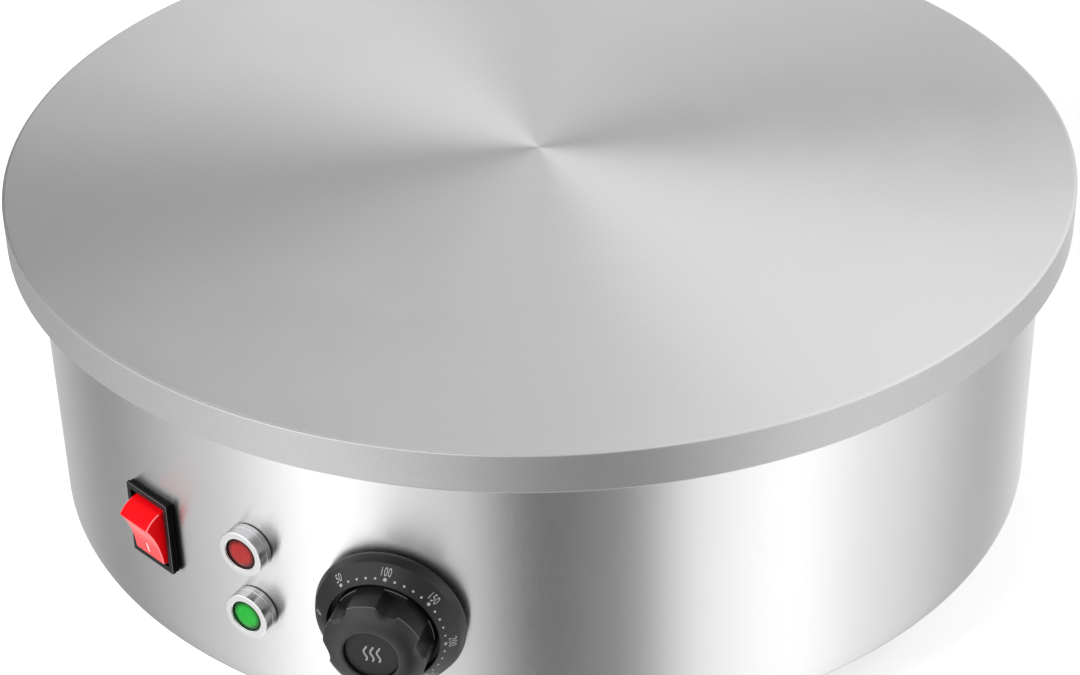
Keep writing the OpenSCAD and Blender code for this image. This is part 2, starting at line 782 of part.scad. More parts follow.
// ---- Other electrical pieces ----

module overheat_cutout() {
    color("darkslategray") translate([0, 0, web_z - 9]) {
        cylinder(r = 8, h = 9 - e);
        translate([-12, -4, 7.5]) cube([24, 8, 1.5 - e]);
        for (side = [-1, 1]) translate([side * 4 - 0.4, -3.15, -5]) cube([0.8, 6.3, 6]);
    }
}

module at_block() {
    around(block_place[0], block_place[1]) translate([0, 0, ground_gap]) children();
}

module terminal_block() {
    color("ivory") at_block() difference() {
        translate([-block_size[0] / 2, -block_size[1] / 2, 0]) cube(block_size);
        for (k = [-1 : 1], y = [-5, 5]) translate([k * 14, y, block_size[2] - 8]) cylinder(r = 2.6, h = 9, $fn = 32);
        for (k = [-1 : 1]) translate([k * 14, 0, 6]) rotate([90, 0, 0]) cylinder(r = 2.2, h = 30, center = true, $fn = 32);
    }
}

module terminal_screws() {
    color(brass) at_block() for (k = [-1 : 1], y = [-5, 5]) translate([k * 14, y, block_size[2] - 8])
        difference() {
            cylinder(r = 2.5, h = 5, $fn = 32);
            translate([-3, -0.4, 4]) cube([6, 0.8, 2]);
        }
}

module earth_stud() {
    nut_d = 8 / cos(30);
    color(brass) around(earth_place[0], earth_place[1]) translate([0, 0, pan_z - 4]) {
        cylinder(r = earth_r, h = 20);
        translate([0, 0, 4 + pan_t]) cylinder(d = nut_d, h = 4, $fn = 6);
        cylinder(d = nut_d, h = 4, $fn = 6);
    }
}

// Rubber splice that joins the neutral wires
module wire_splice() {
    color("white") around(splice_place[0], splice_place[1]) translate([0, 7, splice_place[2]])
        rotate([90, 0, 0]) cylinder(r = 5.5, h = 14);
}

module wires(paths, r, shade) {
    color(shade) for (p = paths) swept_tube(smooth(smooth(p)), r);
}
module supply_wires() { wires([live_in, neutral_in, earth_in], 1.4, "saddlebrown"); }
module heater_wires() {
    wires([live_to_stat, stat_to_cutout, cutout_to_heater, neutral_to_splice, splice_to_heater], 1.4, "steelblue");
    wires([leg_link(-1), leg_link(1)], 1.4, "steelblue");
}
module lamp_wires() { wires([red_to_stat, red_to_splice, green_to_stat, green_to_splice], 1.1, "white"); }

module on_inlet() { on_wall(180, inlet_z) children(); }

module cable_gland() {
    color(black_plastic) on_inlet() difference() {
        union() {
            translate([0, 0, -14]) cylinder(r = gland_thread_r, h = 14 + e);
            cylinder(d = 24 / cos(30), h = 4.5, $fn = 6);
            translate([0, 0, 4]) cylinder(r = gland_thread_r, h = 6);
        }
        translate([0, 0, -20]) cylinder(r = 7.2, h = 24);
        translate([0, 0, 4 - e]) cylinder(r = 8.05, h = 10);
    }
}

module gland_cap() {
    color(black_plastic) on_inlet() difference() {
        union() {
            translate([0, 0, 4.7]) cylinder(d = 24 / cos(30), h = 6.3, $fn = 6);
            translate([0, 0, 11]) cylinder(r1 = 11.8, r2 = 8.2, h = gland_reach - 11);
        }
        translate([0, 0, 4]) cylinder(r = gland_thread_r + 0.05, h = 6.6);
        translate([0, 0, 4]) cylinder(r = 8.05, h = 8.5);
        cylinder(r = 5.6, h = 30);
    }
}

module gland_seal() {
    color([0.2, 0.2, 0.2]) on_inlet() translate([0, 0, 4.2]) tube(8, gland_bore_r, 8.2);
}

module gland_nut() {
    color(black_plastic) on_inlet() translate([0, 0, -6.4]) hex_nut(gland_thread_r + 0.05, 24, 4.5);
}

griddle_plate();
drum_shell();
base_pan();
pan_screws();
foot_front_left();
foot_front_right();
foot_rear_left();
foot_rear_right();
foot_bolts();
foot_nuts();
tie_rods();
tie_nuts();
heating_element_outer();
heating_element_inner();
element_bushes();
clamp_bars();
clamp_studs();
clamp_nuts();
insulation_blanket();
heat_tray();
switch_frame();
switch_rocker();
switch_base();
switch_terminals();
red_lamp_ring();
red_lamp_lens();
red_lamp_body();
red_lamp_nut();
red_lamp_gasket();
green_lamp_ring();
green_lamp_lens();
green_lamp_body();
green_lamp_nut();
green_lamp_gasket();
knob_body();
knob_cap();
knob_spring();
thermostat_spindle();
thermostat_body();
thermostat_bracket();
thermostat_screws();
capillary_tube();
sensing_bulb();
bulb_clips();
overheat_cutout();
terminal_block();
terminal_screws();
earth_stud();
supply_wires();
heater_wires();
lamp_wires();
wire_splice();
cable_gland();
gland_cap();
gland_seal();
gland_nut();
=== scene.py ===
"""Looks of the round electric griddle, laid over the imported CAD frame.

Sizes in the builders below are in millimetres and are scaled to metres when a mesh is made.
A "wall" place is a local frame on the drum: x to the right along the wall, y up, z straight out.
"""
import json
import math

import bmesh
import bpy
from mathutils import Matrix, Vector


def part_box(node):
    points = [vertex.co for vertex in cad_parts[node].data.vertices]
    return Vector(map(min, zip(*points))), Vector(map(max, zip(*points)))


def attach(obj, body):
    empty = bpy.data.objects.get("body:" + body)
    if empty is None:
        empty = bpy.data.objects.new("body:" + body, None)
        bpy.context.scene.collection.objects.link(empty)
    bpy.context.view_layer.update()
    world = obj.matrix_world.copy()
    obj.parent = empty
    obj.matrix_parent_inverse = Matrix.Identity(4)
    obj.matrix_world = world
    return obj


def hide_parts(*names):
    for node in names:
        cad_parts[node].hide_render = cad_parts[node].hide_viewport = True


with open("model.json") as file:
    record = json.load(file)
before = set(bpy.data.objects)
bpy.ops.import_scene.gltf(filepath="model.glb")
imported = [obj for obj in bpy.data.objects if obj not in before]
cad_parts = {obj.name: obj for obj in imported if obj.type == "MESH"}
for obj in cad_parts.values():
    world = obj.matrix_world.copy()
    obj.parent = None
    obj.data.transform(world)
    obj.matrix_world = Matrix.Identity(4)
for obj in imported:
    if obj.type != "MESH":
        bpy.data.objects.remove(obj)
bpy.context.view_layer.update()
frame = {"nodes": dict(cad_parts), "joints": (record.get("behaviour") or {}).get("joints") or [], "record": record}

MM = 0.001
SCENE = bpy.context.scene
RECORD = frame["record"]
CAD = frame["nodes"]
JOINTS = {joint["name"]: joint for joint in frame["joints"]}
SLOT_OF = {part["node"]: part["material_slot"] for part in RECORD["subparts"]}

# ---------------------------------------------------------------- places


def span(name):
    """Lowest and highest corner of a CAD node, in millimetres."""
    low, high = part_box(name)
    return low / MM, high / MM


drum_low, drum_high = span("drum_shell")
DRUM_R = (drum_high.x - drum_low.x) / 2
plate_low, plate_high = span("griddle_plate")
PLATE_R = (plate_high.x - plate_low.x) / 2


def wall(angle, height):
    """Frame on the drum's wall at an angle from the front, in radians, and a height in mm."""
    out = Vector((math.sin(angle), -math.cos(angle), 0))
    right = Vector((math.cos(angle), math.sin(angle), 0))
    spot = (out * DRUM_R + Vector((0, 0, height))) * MM
    return Matrix.Translation(spot) @ Matrix((right, Vector((0, 0, 1)), out)).transposed().to_4x4()


def wall_at(name):
    """Frame on the drum's wall under the middle of a CAD node that stands on it."""
    low, high = span(name)
    middle = (low + high) / 2
    return wall(math.atan2(middle.x, -middle.y), middle.z)


KNOB_TURN, ROCKER_TURN = JOINTS["knob_turn"], JOINTS["rocker_tilt"]
knob_axis, rocker_axis = KNOB_TURN["axis"], ROCKER_TURN["axis"]
AT_KNOB = wall(math.atan2(knob_axis[0], -knob_axis[1]), KNOB_TURN["pos_m"][2] / MM)
AT_SWITCH = wall(math.atan2(-rocker_axis[1], -rocker_axis[0]), ROCKER_TURN["pos_m"][2] / MM)
AT_RED = wall_at("red_lamp_ring")
AT_GREEN = wall_at("green_lamp_ring")
AT_INLET = wall_at("gland_cap")

# ---------------------------------------------------------------- mesh tools

# Vertices nearer to each other than this become one, in mm
MERGE = 1e-4
# Edges shorter than this are dropped after a cut, in metres
TINY = 2e-6


def corner_arc(before, here, after, radius, steps):
    """Points of a fillet of that radius in the corner at here. Works in any number of dimensions."""
    a = (before - here).normalized()
    b = (after - here).normalized()
    half = math.acos(max(-1.0, min(1.0, a.dot(b)))) / 2
    if half > math.pi / 2 - 0.01:
        return [here]
    longest = min((before - here).length, (after - here).length) * 0.49
    reach = min(radius / math.tan(half), longest)
    radius = reach * math.tan(half)
    centre = here + (a + b).normalized() * (radius / math.sin(half))
    start = here + a * reach - centre
    end = here + b * reach - centre
    total = math.pi - 2 * half
    points = []
    for k in range(steps + 1):
        t = k / steps
        mix = (start * math.sin((1 - t) * total) + end * math.sin(t * total)) / math.sin(total)
        points.append(centre + mix)
    return points


def outline(points, closed=True, steps=4):
    """Rounds the corners of a line of (coordinates..., fillet radius) points."""
    at = [Vector(p[:-1]) for p in points]
    line = []
    for k, point in enumerate(points):
        inside = closed or 0 < k < len(points) - 1
        if point[-1] > 0 and inside:
            line += corner_arc(at[k - 1], at[k], at[(k + 1) % len(at)], point[-1], steps)
        else:
            line.append(at[k])
    return line


def skin(bm, rings, closed):
    """Joins rings of vertices with quads. A ring of one vertex is a pole."""
    pairs = list(zip(rings, rings[1:]))
    if closed:
        pairs.append((rings[-1], rings[0]))
    for a, b in pairs:
        count = max(len(a), len(b))
        if count == 1:
            continue
        for k in range(count):
            m = (k + 1) % count
            corners = [a[k % len(a)]]
            if len(a) > 1:
                corners.append(a[m])
            corners.append(b[m % len(b)])
            if len(b) > 1:
                corners.append(b[k])
            bm.faces.new(corners)


def lathe(bm, line, segments=96, closed=True, reach=None):
    """Turns a line of (radius, height) points about z. reach(r, z, angle) may draw the radius in."""
    rings = []
    for r, z in line:
        if r < MERGE:
            rings.append([bm.verts.new((0, 0, z))])
            continue
        ring = []
        for k in range(segments):
            angle = 2 * math.pi * k / segments
            wide = reach(r, z, angle) if reach else r
            ring.append(bm.verts.new((wide * math.cos(angle), wide * math.sin(angle), z)))
        rings.append(ring)
    skin(bm, rings, closed)


def frame_loft(bm, line):
    """Joins rounded rectangles, each (half width, half height, z, corner radius), into a closed frame."""
    corner_steps = 5
    rings = []
    for wide, high, z, radius in line:
        radius = max(0.02, min(radius, wide * 0.98, high * 0.98))
        ring = []
        for quarter, (sx, sy) in enumerate(((1, 1), (-1, 1), (-1, -1), (1, -1))):
            for k in range(corner_steps + 1):
                angle = (quarter + k / corner_steps) * math.pi / 2
                x = sx * (wide - radius) + radius * math.cos(angle)
                y = sy * (high - radius) + radius * math.sin(angle)
                ring.append(bm.verts.new((x, y, z)))
        rings.append(ring)
    skin(bm, rings, True)


def smooth(mesh, sharp):
    """Smooth shading with crisp edges above an angle in degrees."""
    mesh.shade_smooth()
    mesh.set_sharp_from_angle(angle=math.radians(sharp))


def make(name, bm, place=None, sharp=32):
    """Turns a bmesh in mm into an object with smooth faces and crisp edges above an angle."""
    bmesh.ops.remove_doubles(bm, verts=bm.verts, dist=MERGE)
    bmesh.ops.recalc_face_normals(bm, faces=bm.faces)
    bmesh.ops.scale(bm, vec=(MM, MM, MM), verts=bm.verts)
    mesh = bpy.data.meshes.new(name)
    bm.to_mesh(mesh)
    bm.free()
    smooth(mesh, sharp)
    obj = bpy.data.objects.new(name, mesh)
    SCENE.collection.objects.link(obj)
    if place:
        obj.matrix_world = place
    return obj


def settle(obj):
    """Moves a piece's turn into its mesh, so that its box is measured along the world's axes."""
    turn = obj.matrix_world.to_3x3().to_4x4()
    obj.data.transform(turn)
    obj.matrix_world = Matrix.Translation(obj.matrix_world.translation)


def even_normals(obj):
    """Keeps wide faces flat next to small fillets."""
    modifier = obj.modifiers.new("Even normals", "WEIGHTED_NORMAL")
    modifier.keep_sharp = True
    modifier.weight = 60


def evaluated_mesh(obj):
    """A copy of the object's mesh with its modifiers applied."""
    bpy.context.view_layer.update()
    return bpy.data.meshes.new_from_object(obj.evaluated_get(bpy.context.evaluated_depsgraph_get()))


def cut(obj, cutter, sharp):
    """Subtracts a closed mesh from obj, then drops the cutter."""
    modifier = obj.modifiers.new("Cut", "BOOLEAN")
    modifier.operation = "DIFFERENCE"
    modifier.solver = "EXACT"
    modifier.object = cutter
    cut_mesh = evaluated_mesh(obj)
    obj.modifiers.remove(modifier)
    clean = bmesh.new()
    clean.from_mesh(cut_mesh)
    bmesh.ops.dissolve_degenerate(clean, edges=clean.edges, dist=TINY)
    clean.to_mesh(cut_mesh)
    clean.free()
    smooth(cut_mesh, sharp)
    obj.data = cut_mesh
    bpy.data.objects.remove(cutter)


# ---------------------------------------------------------------- material tools


def wire_up(tree, target, inputs):
    """Sets a shader node's inputs to values, or links them to other nodes' outputs."""
    for key, value in inputs.items():
        if isinstance(value, bpy.types.NodeSocket):
            tree.links.new(value, target.inputs[key])
        else:
            target.inputs[key].default_value = value


def node(tree, kind, inputs=None, **settings):
    """Adds a shader node with those settings and inputs."""
    made = tree.nodes.new("ShaderNode" + kind)
    for key, value in settings.items():
        setattr(made, key, value)
    wire_up(tree, made, inputs or {})
    return made


def spots(tree, scale=(1, 1, 1)):
    """Coordinates on the object, in metres, stretched by scale."""
    at = node(tree, "TexCoord").outputs["Object"]
    return node(tree, "Mapping", {"Vector": at, "Scale": scale}).outputs[0]


def noise(tree, at, scale, detail=3.0, roughness=0.6):
    """Noise at those coordinates, of about that many grains to the metre, mostly between 0.3 and 0.7."""
    texture = node(tree, "TexNoise", {"Vector": at, "Scale": scale, "Detail": detail, "Roughness": roughness})
    return texture.outputs["Fac"]


def remap(tree, value, low, high, from_low=0.3, from_high=0.7):
    """Brings a value from one range, at first that of noise, to the range from low to high."""
    made = node(tree, "MapRange", {"Value": value, "From Min": from_low, "From Max": from_high})
    made.inputs["To Min"].default_value = low
    made.inputs["To Max"].default_value = high
    return made.outputs[0]


def tint(tree, value, dark, light):
    """A colour between dark and light, mixed by value."""
    made = node(tree, "Mix", {"Factor": value}, data_type="RGBA")
    made.inputs["A"].default_value = (*dark, 1)
    made.inputs["B"].default_value = (*light, 1)
    return made.outputs["Result"]


def bump(tree, height, depth):
    """Bump whose full height is depth in metres."""
    return node(tree, "Bump", {"Height": height, "Distance": depth}).outputs[0]


def varied(tree, base, grain, swing):
    """base plus or minus swing, following the grain."""
    return node(tree, "Math", {0: base, 1: remap(tree, grain, -swing, swing)}, operation="ADD").outputs[0]


def off_axis(tree, parts):
    """Distance from the z axis, for coordinates that were taken apart."""
    flat = node(tree, "CombineXYZ", {"X": parts.outputs["X"], "Y": parts.outputs["Y"]}).outputs[0]
    return node(tree, "VectorMath", {0: flat}, operation="LENGTH").outputs["Value"]


def turned(tree):
    """Inputs that stretch a highlight across the fine marks of a piece turned on a lathe."""
    around = node(tree, "Tangent", direction_type="RADIAL", axis="Z").outputs[0]
    return {"Anisotropic Rotation": 0.25, "Tangent": around}


def shader(name):
    """A new material: its node tree and its Principled node."""
    material = bpy.data.materials.new(name)
    material.use_nodes = True
    tree = material.node_tree
    tree.nodes.clear()
    output = tree.nodes.new("ShaderNodeOutputMaterial")
    principled = tree.nodes.new("ShaderNodeBsdfPrincipled")
    tree.links.new(principled.outputs[0], output.inputs["Surface"])
    return material, tree, principled


def metal(name, dark, light, rough, grain=1500, depth=4e-6, stretch=(1, 1, 1), anisotropic=0.0):
    """Metal with a grain that varies its colour, gloss and surface a little."""
    material, tree, principled = shader(name)
    at = spots(tree, stretch)
    fine = noise(tree, at, grain, 4)
    broad = noise(tree, spots(tree), 18, 2)
    wire_up(tree, principled, {
        "Base Color": tint(tree, fine, dark, light),
        "Metallic": 1.0,
        "Roughness": varied(tree, remap(tree, broad, *rough), fine, 0.02),
        "Normal": bump(tree, fine, depth),
    })
    if anisotropic:
        wire_up(tree, principled, {"Anisotropic": anisotropic, **turned(tree)})
    return material


def plastic(name, dark, light, rough, grain=1800, depth=1e-5, specular=0.5, coat=0.0):
    """Moulded plastic, rubber or ceramic with a fine surface texture."""
    material, tree, principled = shader(name)
    fine = noise(tree, spots(tree), grain, 3)
    broad = noise(tree, spots(tree), 60, 3)
    wire_up(tree, principled, {
        "Base Color": tint(tree, broad, dark, light),
        "Roughness": remap(tree, fine, *rough),
        "Normal": bump(tree, fine, depth),
        "Specular IOR Level": specular,
    })
    if coat:
        wire_up(tree, principled, {"Coat Weight": coat, "Coat Roughness": 0.08})
    return material


def turned_plate(name, dark, light, rough):
    """Thick griddle plate: satin, with fine turning marks around its centre."""
    material, tree, principled = shader(name)
    at = node(tree, "TexCoord").outputs["Object"]
    parts = node(tree, "SeparateXYZ", {0: at})
    rings_at = node(tree, "CombineXYZ", {"X": off_axis(tree, parts), "Z": parts.outputs["Z"]}).outputs[0]
    rings = noise(tree, rings_at, 2600, 3)
    speck = noise(tree, at, 1400, 4, 0.7)
    broad = noise(tree, at, 22, 3)
    grain = node(tree, "Mix", {"Factor": 0.6, "A": rings, "B": speck}, data_type="FLOAT").outputs["Result"]
    wire_up(tree, principled, {
        "Base Color": tint(tree, remap(tree, grain, 0, 1), dark, light),
        "Metallic": 1.0,
        "Roughness": varied(tree, remap(tree, broad, rough, rough + 0.05), grain, 0.04),
        "Normal": bump(tree, grain, 1.2e-5),
        "Anisotropic": 0.9,
        **turned(tree),
    })
    return material


# Radii between which a lens gets darker towards its rim, in metres: partly the deeper tint of the thicker edge,
# partly painted shade of the dome's side
LENS_SHADE = (0.0036, 0.0054)


def lens(name, deep, pale, glow):
    """Tinted lens with a moulded diffusing pattern behind a clear surface."""
    material, tree, principled = shader(name)
    at = spots(tree)
    cells = node(tree, "TexVoronoi", {"Vector": at, "Scale": 900.0}).outputs["Distance"]
    away = off_axis(tree, node(tree, "SeparateXYZ", {0: at}))
    # Darker towards the rim: partly the thicker edge's tint, partly painted shade
    rim = remap(tree, away, 0, 1, *LENS_SHADE)
    speckle = remap(tree, cells, 0, 0.22, 0.1, 0.7)
    shade = node(tree, "Math", {0: rim, 1: speckle}, operation="ADD", use_clamp=True).outputs[0]
    colour = tint(tree, shade, pale, deep)
    wire_up(tree, principled, {
        "Base Color": colour,
        "Roughness": 0.25,
        "Normal": bump(tree, cells, 5e-5),
        "Specular IOR Level": 0.15,
        "Coat Weight": 0.25,
        "Coat Roughness": 0.05,
        "Emission Color": colour,
        "Emission Strength": glow,
    })
    return material


# Dark colour, light colour, roughness from and to, grain, height of its bumps in metres, and for
# some a stretch of the grain and how far highlights are stretched
METALS = {
    "drum_steel": ((0.85, 0.85, 0.855), (0.88, 0.88, 0.885), (0.29, 0.31), 1500, 4e-7, (1, 1, 0.12), 0.8),
    "pan_steel": ((0.5, 0.51, 0.52), (0.66, 0.67, 0.68), (0.3, 0.42), 500, 6e-6),
    "fastener_steel": ((0.56, 0.56, 0.57), (0.72, 0.72, 0.73), (0.25, 0.36), 1200),
    "element_steel": ((0.13, 0.115, 0.11), (0.27, 0.25, 0.24), (0.4, 0.55), 400, 2e-5),
    "brass": ((0.62, 0.44, 0.18), (0.78, 0.6, 0.3), (0.25, 0.35), 1200),
    "lamp_chrome": ((0.94, 0.94, 0.945), (0.97, 0.97, 0.975), (0.1, 0.16), 2500, 1e-6),
    # A darker copy of the chrome for the lamp ring's side and groove: painted shade
    "lamp_side_painted_shade": ((0.42, 0.42, 0.43), (0.6, 0.6, 0.61), (0.1, 0.16), 2500, 1e-6),
    "copper": ((0.62, 0.32, 0.2), (0.78, 0.46, 0.32), (0.28, 0.4), 900),
}
# Dark colour, light colour, roughness from and to, grain, height of its bumps in metres, and for
# some the specular level and a clear coat
PLASTICS = {
    "foot_rubber": ((0.012, 0.012, 0.012), (0.022, 0.022, 0.022), (0.6, 0.75), 1400, 2e-5),
    "ceramic": ((0.66, 0.62, 0.54), (0.76, 0.73, 0.66), (0.3, 0.4), 900, 1e-5, 0.5, 0.4),
    "fibre": ((0.55, 0.52, 0.45), (0.72, 0.69, 0.62), (0.9, 1.0), 700, 4e-4),
    "wire_cover": ((0.5, 0.48, 0.42), (0.66, 0.63, 0.56), (0.7, 0.85), 1600, 8e-5),
    "black_plastic": ((0.012, 0.012, 0.013), (0.02, 0.02, 0.021), (0.42, 0.52), 1500, 1e-5),
    "switch_black": ((0.002, 0.002, 0.0021), (0.003, 0.003, 0.0032), (0.3, 0.4), 2500, 2e-6, 0.06),
    "switch_face": ((0.008, 0.008, 0.0085), (0.013, 0.013, 0.0135), (0.2, 0.28), 2500, 2e-6, 0.2),
    # A lighter grey along the frame's front edges: a painted highlight
    "switch_edge_highlight": ((0.09, 0.09, 0.095), (0.13, 0.13, 0.135), (0.2, 0.28), 2500, 2e-6),
    "switch_mark": ((0.78, 0.5, 0.48), (0.86, 0.6, 0.58), (0.25, 0.3), 2500, 2e-6),
    "rocker_red": ((0.86, 0.003, 0.006), (0.94, 0.004, 0.009), (0.2, 0.26), 2500, 2e-6, 0.06),
    "rocker_front": ((0.82, 0.05, 0.055), (0.9, 0.07, 0.075), (0.14, 0.2), 2500, 2e-6, 0.4, 0.3),
    # A paler red along the rocker's rounded side edges: a painted highlight
    "rocker_edge_highlight": ((0.9, 0.16, 0.17), (0.95, 0.22, 0.23), (0.16, 0.22), 2500, 2e-6, 0.4),
    "knob_black": ((0.005, 0.005, 0.0052), (0.008, 0.008, 0.0083), (0.3, 0.36), 2600, 4e-6, 0.46),
    "knob_top": ((0.013, 0.013, 0.0134), (0.018, 0.018, 0.0184), (0.3, 0.36), 2600, 4e-6, 0.5),
    "knob_grip": ((0.012, 0.012, 0.0125), (0.018, 0.018, 0.0185), (0.3, 0.38), 2600, 6e-6, 0.2),
    # A lighter grey for the knob's small fillets: a painted highlight
    "knob_edge_highlight": ((0.12, 0.12, 0.122), (0.17, 0.17, 0.172), (0.3, 0.36), 2600, 4e-6),
    "cap_grey": ((0.014, 0.014, 0.0144), (0.02, 0.02, 0.0204), (0.36, 0.42), 2600, 4e-6, 0.22),
    "printed_marks": ((0.3, 0.3, 0.297), (0.38, 0.38, 0.375), (0.45, 0.55), 2500, 3e-6, 0.2),
    "printed_symbol": ((0.21, 0.21, 0.21), (0.27, 0.27, 0.267), (0.45, 0.55), 2500, 3e-6, 0.2),
}
MATERIALS = {
    "plate_metal": turned_plate("plate_metal", (0.6, 0.6, 0.605), (0.74, 0.74, 0.745), 0.4),
    "plate_side": turned_plate("plate_side", (0.58, 0.58, 0.585), (0.7, 0.7, 0.705), 0.54),
    "lens_red": lens("lens_red", (0.03, 0.001, 0.001), (0.34, 0.014, 0.012), 0.04),
    "lens_green": lens("lens_green", (0.001, 0.05, 0.005), (0.004, 0.34, 0.022), 0.1),
    **{name: metal(name, *look) for name, look in METALS.items()},
    **{name: plastic(name, *look) for name, look in PLASTICS.items()},
}


def dress(obj, slot, body="housing", stands_for=(), material=None):
    """Finishes a new piece: body, slot, material, and the CAD nodes that it stands for."""
    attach(obj, body)
    obj.data.materials.clear()
    obj.data.materials.append(MATERIALS[material or slot])
    if stands_for:
        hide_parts(*stands_for)


def paint(obj, material, test):
    """Gives the faces that pass test(radius, x, y, z, normal), in mm on the piece, another material."""
    obj.data.materials.append(MATERIALS[material])
    for face in obj.data.polygons:
        x, y, z = face.center / MM
        if test(math.hypot(x, y), x, y, z, face.normal):
            face.material_index = len(obj.data.materials) - 1


for name, obj in CAD.items():
    obj.data.materials.clear()
    obj.data.materials.append(MATERIALS[SLOT_OF[name]])

# ---------------------------------------------------------------- plate


PLATE_WEB = 10
RIM_INNER_R = 178
BEVEL_WIDE, BEVEL_DROP = 1.2, 0.2
EDGE_WIDE, EDGE_DROP = 0.15, 0.5


def build_plate():
    """The plate: a shallow bevel with a fine second edge, and a deeper rim around the flat middle."""
    top, under = plate_high.z, plate_low.z
    web = top - PLATE_WEB
    line = outline([
        (0, top, 0), (PLATE_R * 0.5, top, 0), (PLATE_R - BEVEL_WIDE, top, 0.2),
        (PLATE_R - EDGE_WIDE, top - BEVEL_DROP, 0.08), (PLATE_R, top - EDGE_DROP, 0.08),
        (PLATE_R, under + 1, 0.3), (PLATE_R - 1, under, 0.3),
        (RIM_INNER_R, under, 0.6), (RIM_INNER_R - 4, web, 0.6), (0, web, 0),
    ], closed=False, steps=4)
    bm = bmesh.new()
    lathe(bm, line, 384, closed=False)
    obj = make("plate_look", bm, sharp=50)
    even_normals(obj)
    dress(obj, "plate_metal", stands_for=["griddle_plate"])
    paint(obj, "plate_side", lambda r, x, y, z, n: r > PLATE_R - 0.1 and abs(n.z) < 0.3)


# ---------------------------------------------------------------- drum


def box_mesh(bm, low, high, place):
    """A block between two corners of a place, in mm."""
    corners = bmesh.ops.create_cube(bm, size=1)["verts"]
    size = Vector(high) - Vector(low)
    bmesh.ops.scale(bm, vec=size, verts=corners)
    bmesh.ops.translate(bm, vec=(Vector(high) + Vector(low)) / 2, verts=corners)
    bmesh.ops.transform(bm, matrix=place, verts=corners)


def rod_mesh(bm, radius, low, high, place, x=0.0, segments=64):
    """A closed cylinder along the z of a place, in mm."""
    turns = [2 * math.pi * k / segments for k in range(segments)]
    rings = [
        [bm.verts.new(place @ Vector((x + radius * math.cos(a), radius * math.sin(a), z))) for a in turns]
        for z in (low, high)
    ]
    skin(bm, rings, False)
    bm.faces.new(rings[0])
    bm.faces.new(rings[1])


def in_mm(place):
    """The same place for meshes that are still in millimetres."""
    moved = place.copy()
    moved.translation = place.translation / MM
    return moved


SHEET = 1.2
TOP_FLANGE, LOW_FLANGE = 11, 15
SWITCH_HOLE = (9.8, 13.7)
LAMP_HOLE_R, SPINDLE_HOLE_R, SCREW_HOLE_R, INLET_HOLE_R = 6.2, 5.3, 2.2, 10.2
SCREW_X = 14


def build_drum():
    """The drum's sheet with its two flanges, and the holes that the controls and the gland go through."""
    top, low = drum_high.z, drum_low.z
    rows = 10
    wall_rows = [(DRUM_R, top - 6 - k * (top - low - 14) / rows, 0) for k in range(rows + 1)]
    line = outline(
        [(DRUM_R - TOP_FLANGE, top - SHEET, 0), (DRUM_R - TOP_FLANGE, top, 0), (DRUM_R, top, 0.5)]
        + wall_rows
        + [
            (DRUM_R, low, 2.5), (DRUM_R - LOW_FLANGE, low, 0), (DRUM_R - LOW_FLANGE, low + SHEET, 0),
            (DRUM_R - SHEET, low + SHEET, 1.3), (DRUM_R - SHEET, top - SHEET, 0),
        ],
        steps=6,
    )
    bm = bmesh.new()
    lathe(bm, line, 512)
    drum = make("drum_look", bm, sharp=40)
    holes = bmesh.new()
    reach = 6
    wide, high = SWITCH_HOLE
    box_mesh(holes, (-wide, -high, -reach), (wide, high, reach), in_mm(AT_SWITCH))
    for radius, place, x in (
        (LAMP_HOLE_R, AT_RED, 0), (LAMP_HOLE_R, AT_GREEN, 0), (SPINDLE_HOLE_R, AT_KNOB, 0),
        (SCREW_HOLE_R, AT_KNOB, SCREW_X), (SCREW_HOLE_R, AT_KNOB, -SCREW_X), (INLET_HOLE_R, AT_INLET, 0),
    ):
        rod_mesh(holes, radius, -reach, reach, in_mm(place), x)
    cut(drum, make("drum_holes", holes), 40)
    dress(drum, "drum_steel", stands_for=["drum_shell"])


# ---------------------------------------------------------------- feet


BOLT_R, BOLT_HEAD_R, BOLT_SEAT = 2.7, 6.5, 12
FLOOR_R, BULGE_R, WAIST_R, TOP_R = 15.5, 17, 14.6, 14


def build_foot(name):
    """A rubber foot that is wider at the floor, with a deep hole for its bolt's head."""
    low, high = span(name)
    middle = (low + high) / 2
    height = high.z
    line = outline([
        (BOLT_R, height, 0), (BOLT_R, BOLT_SEAT, 0.3), (BOLT_HEAD_R, BOLT_SEAT, 0.3), (BOLT_HEAD_R, 0, 0.8),
        (FLOOR_R, 0, 0.7), (BULGE_R, 1.5, 0.7), (WAIST_R, height - 3, 3), (TOP_R, height, 0),
    ], steps=4)
    bm = bmesh.new()
    lathe(bm, line, 96)
    obj = make(name + "_look", bm, Matrix.Translation(Vector((middle.x, middle.y, 0)) * MM), sharp=50)
    dress(obj, "foot_rubber", stands_for=[name])


# ---------------------------------------------------------------- switch


# The rocker rests tilted half of its travel out of the middle, and its pivot lies inside the drum's surface
ROCKER_TILT = math.radians(ROCKER_TURN["range_deg"][1] / 2)
PIVOT_Z = (Vector(ROCKER_TURN["pos_m"][:2]).length / MM) - DRUM_R
PIN_R, PIN_HOLE_R = 1.4, 1.44
FRAME_HALF, FRAME_OUT, FRAME_BACK = 11.2, 3.0, -14
# Half width and half height of the front's opening, and of the inside and the outside of the box
OPENING, BOX_INSIDE, BOX_OUTSIDE = (9.2, 12.4), (8.1, 12.4), (9.6, 13.5)


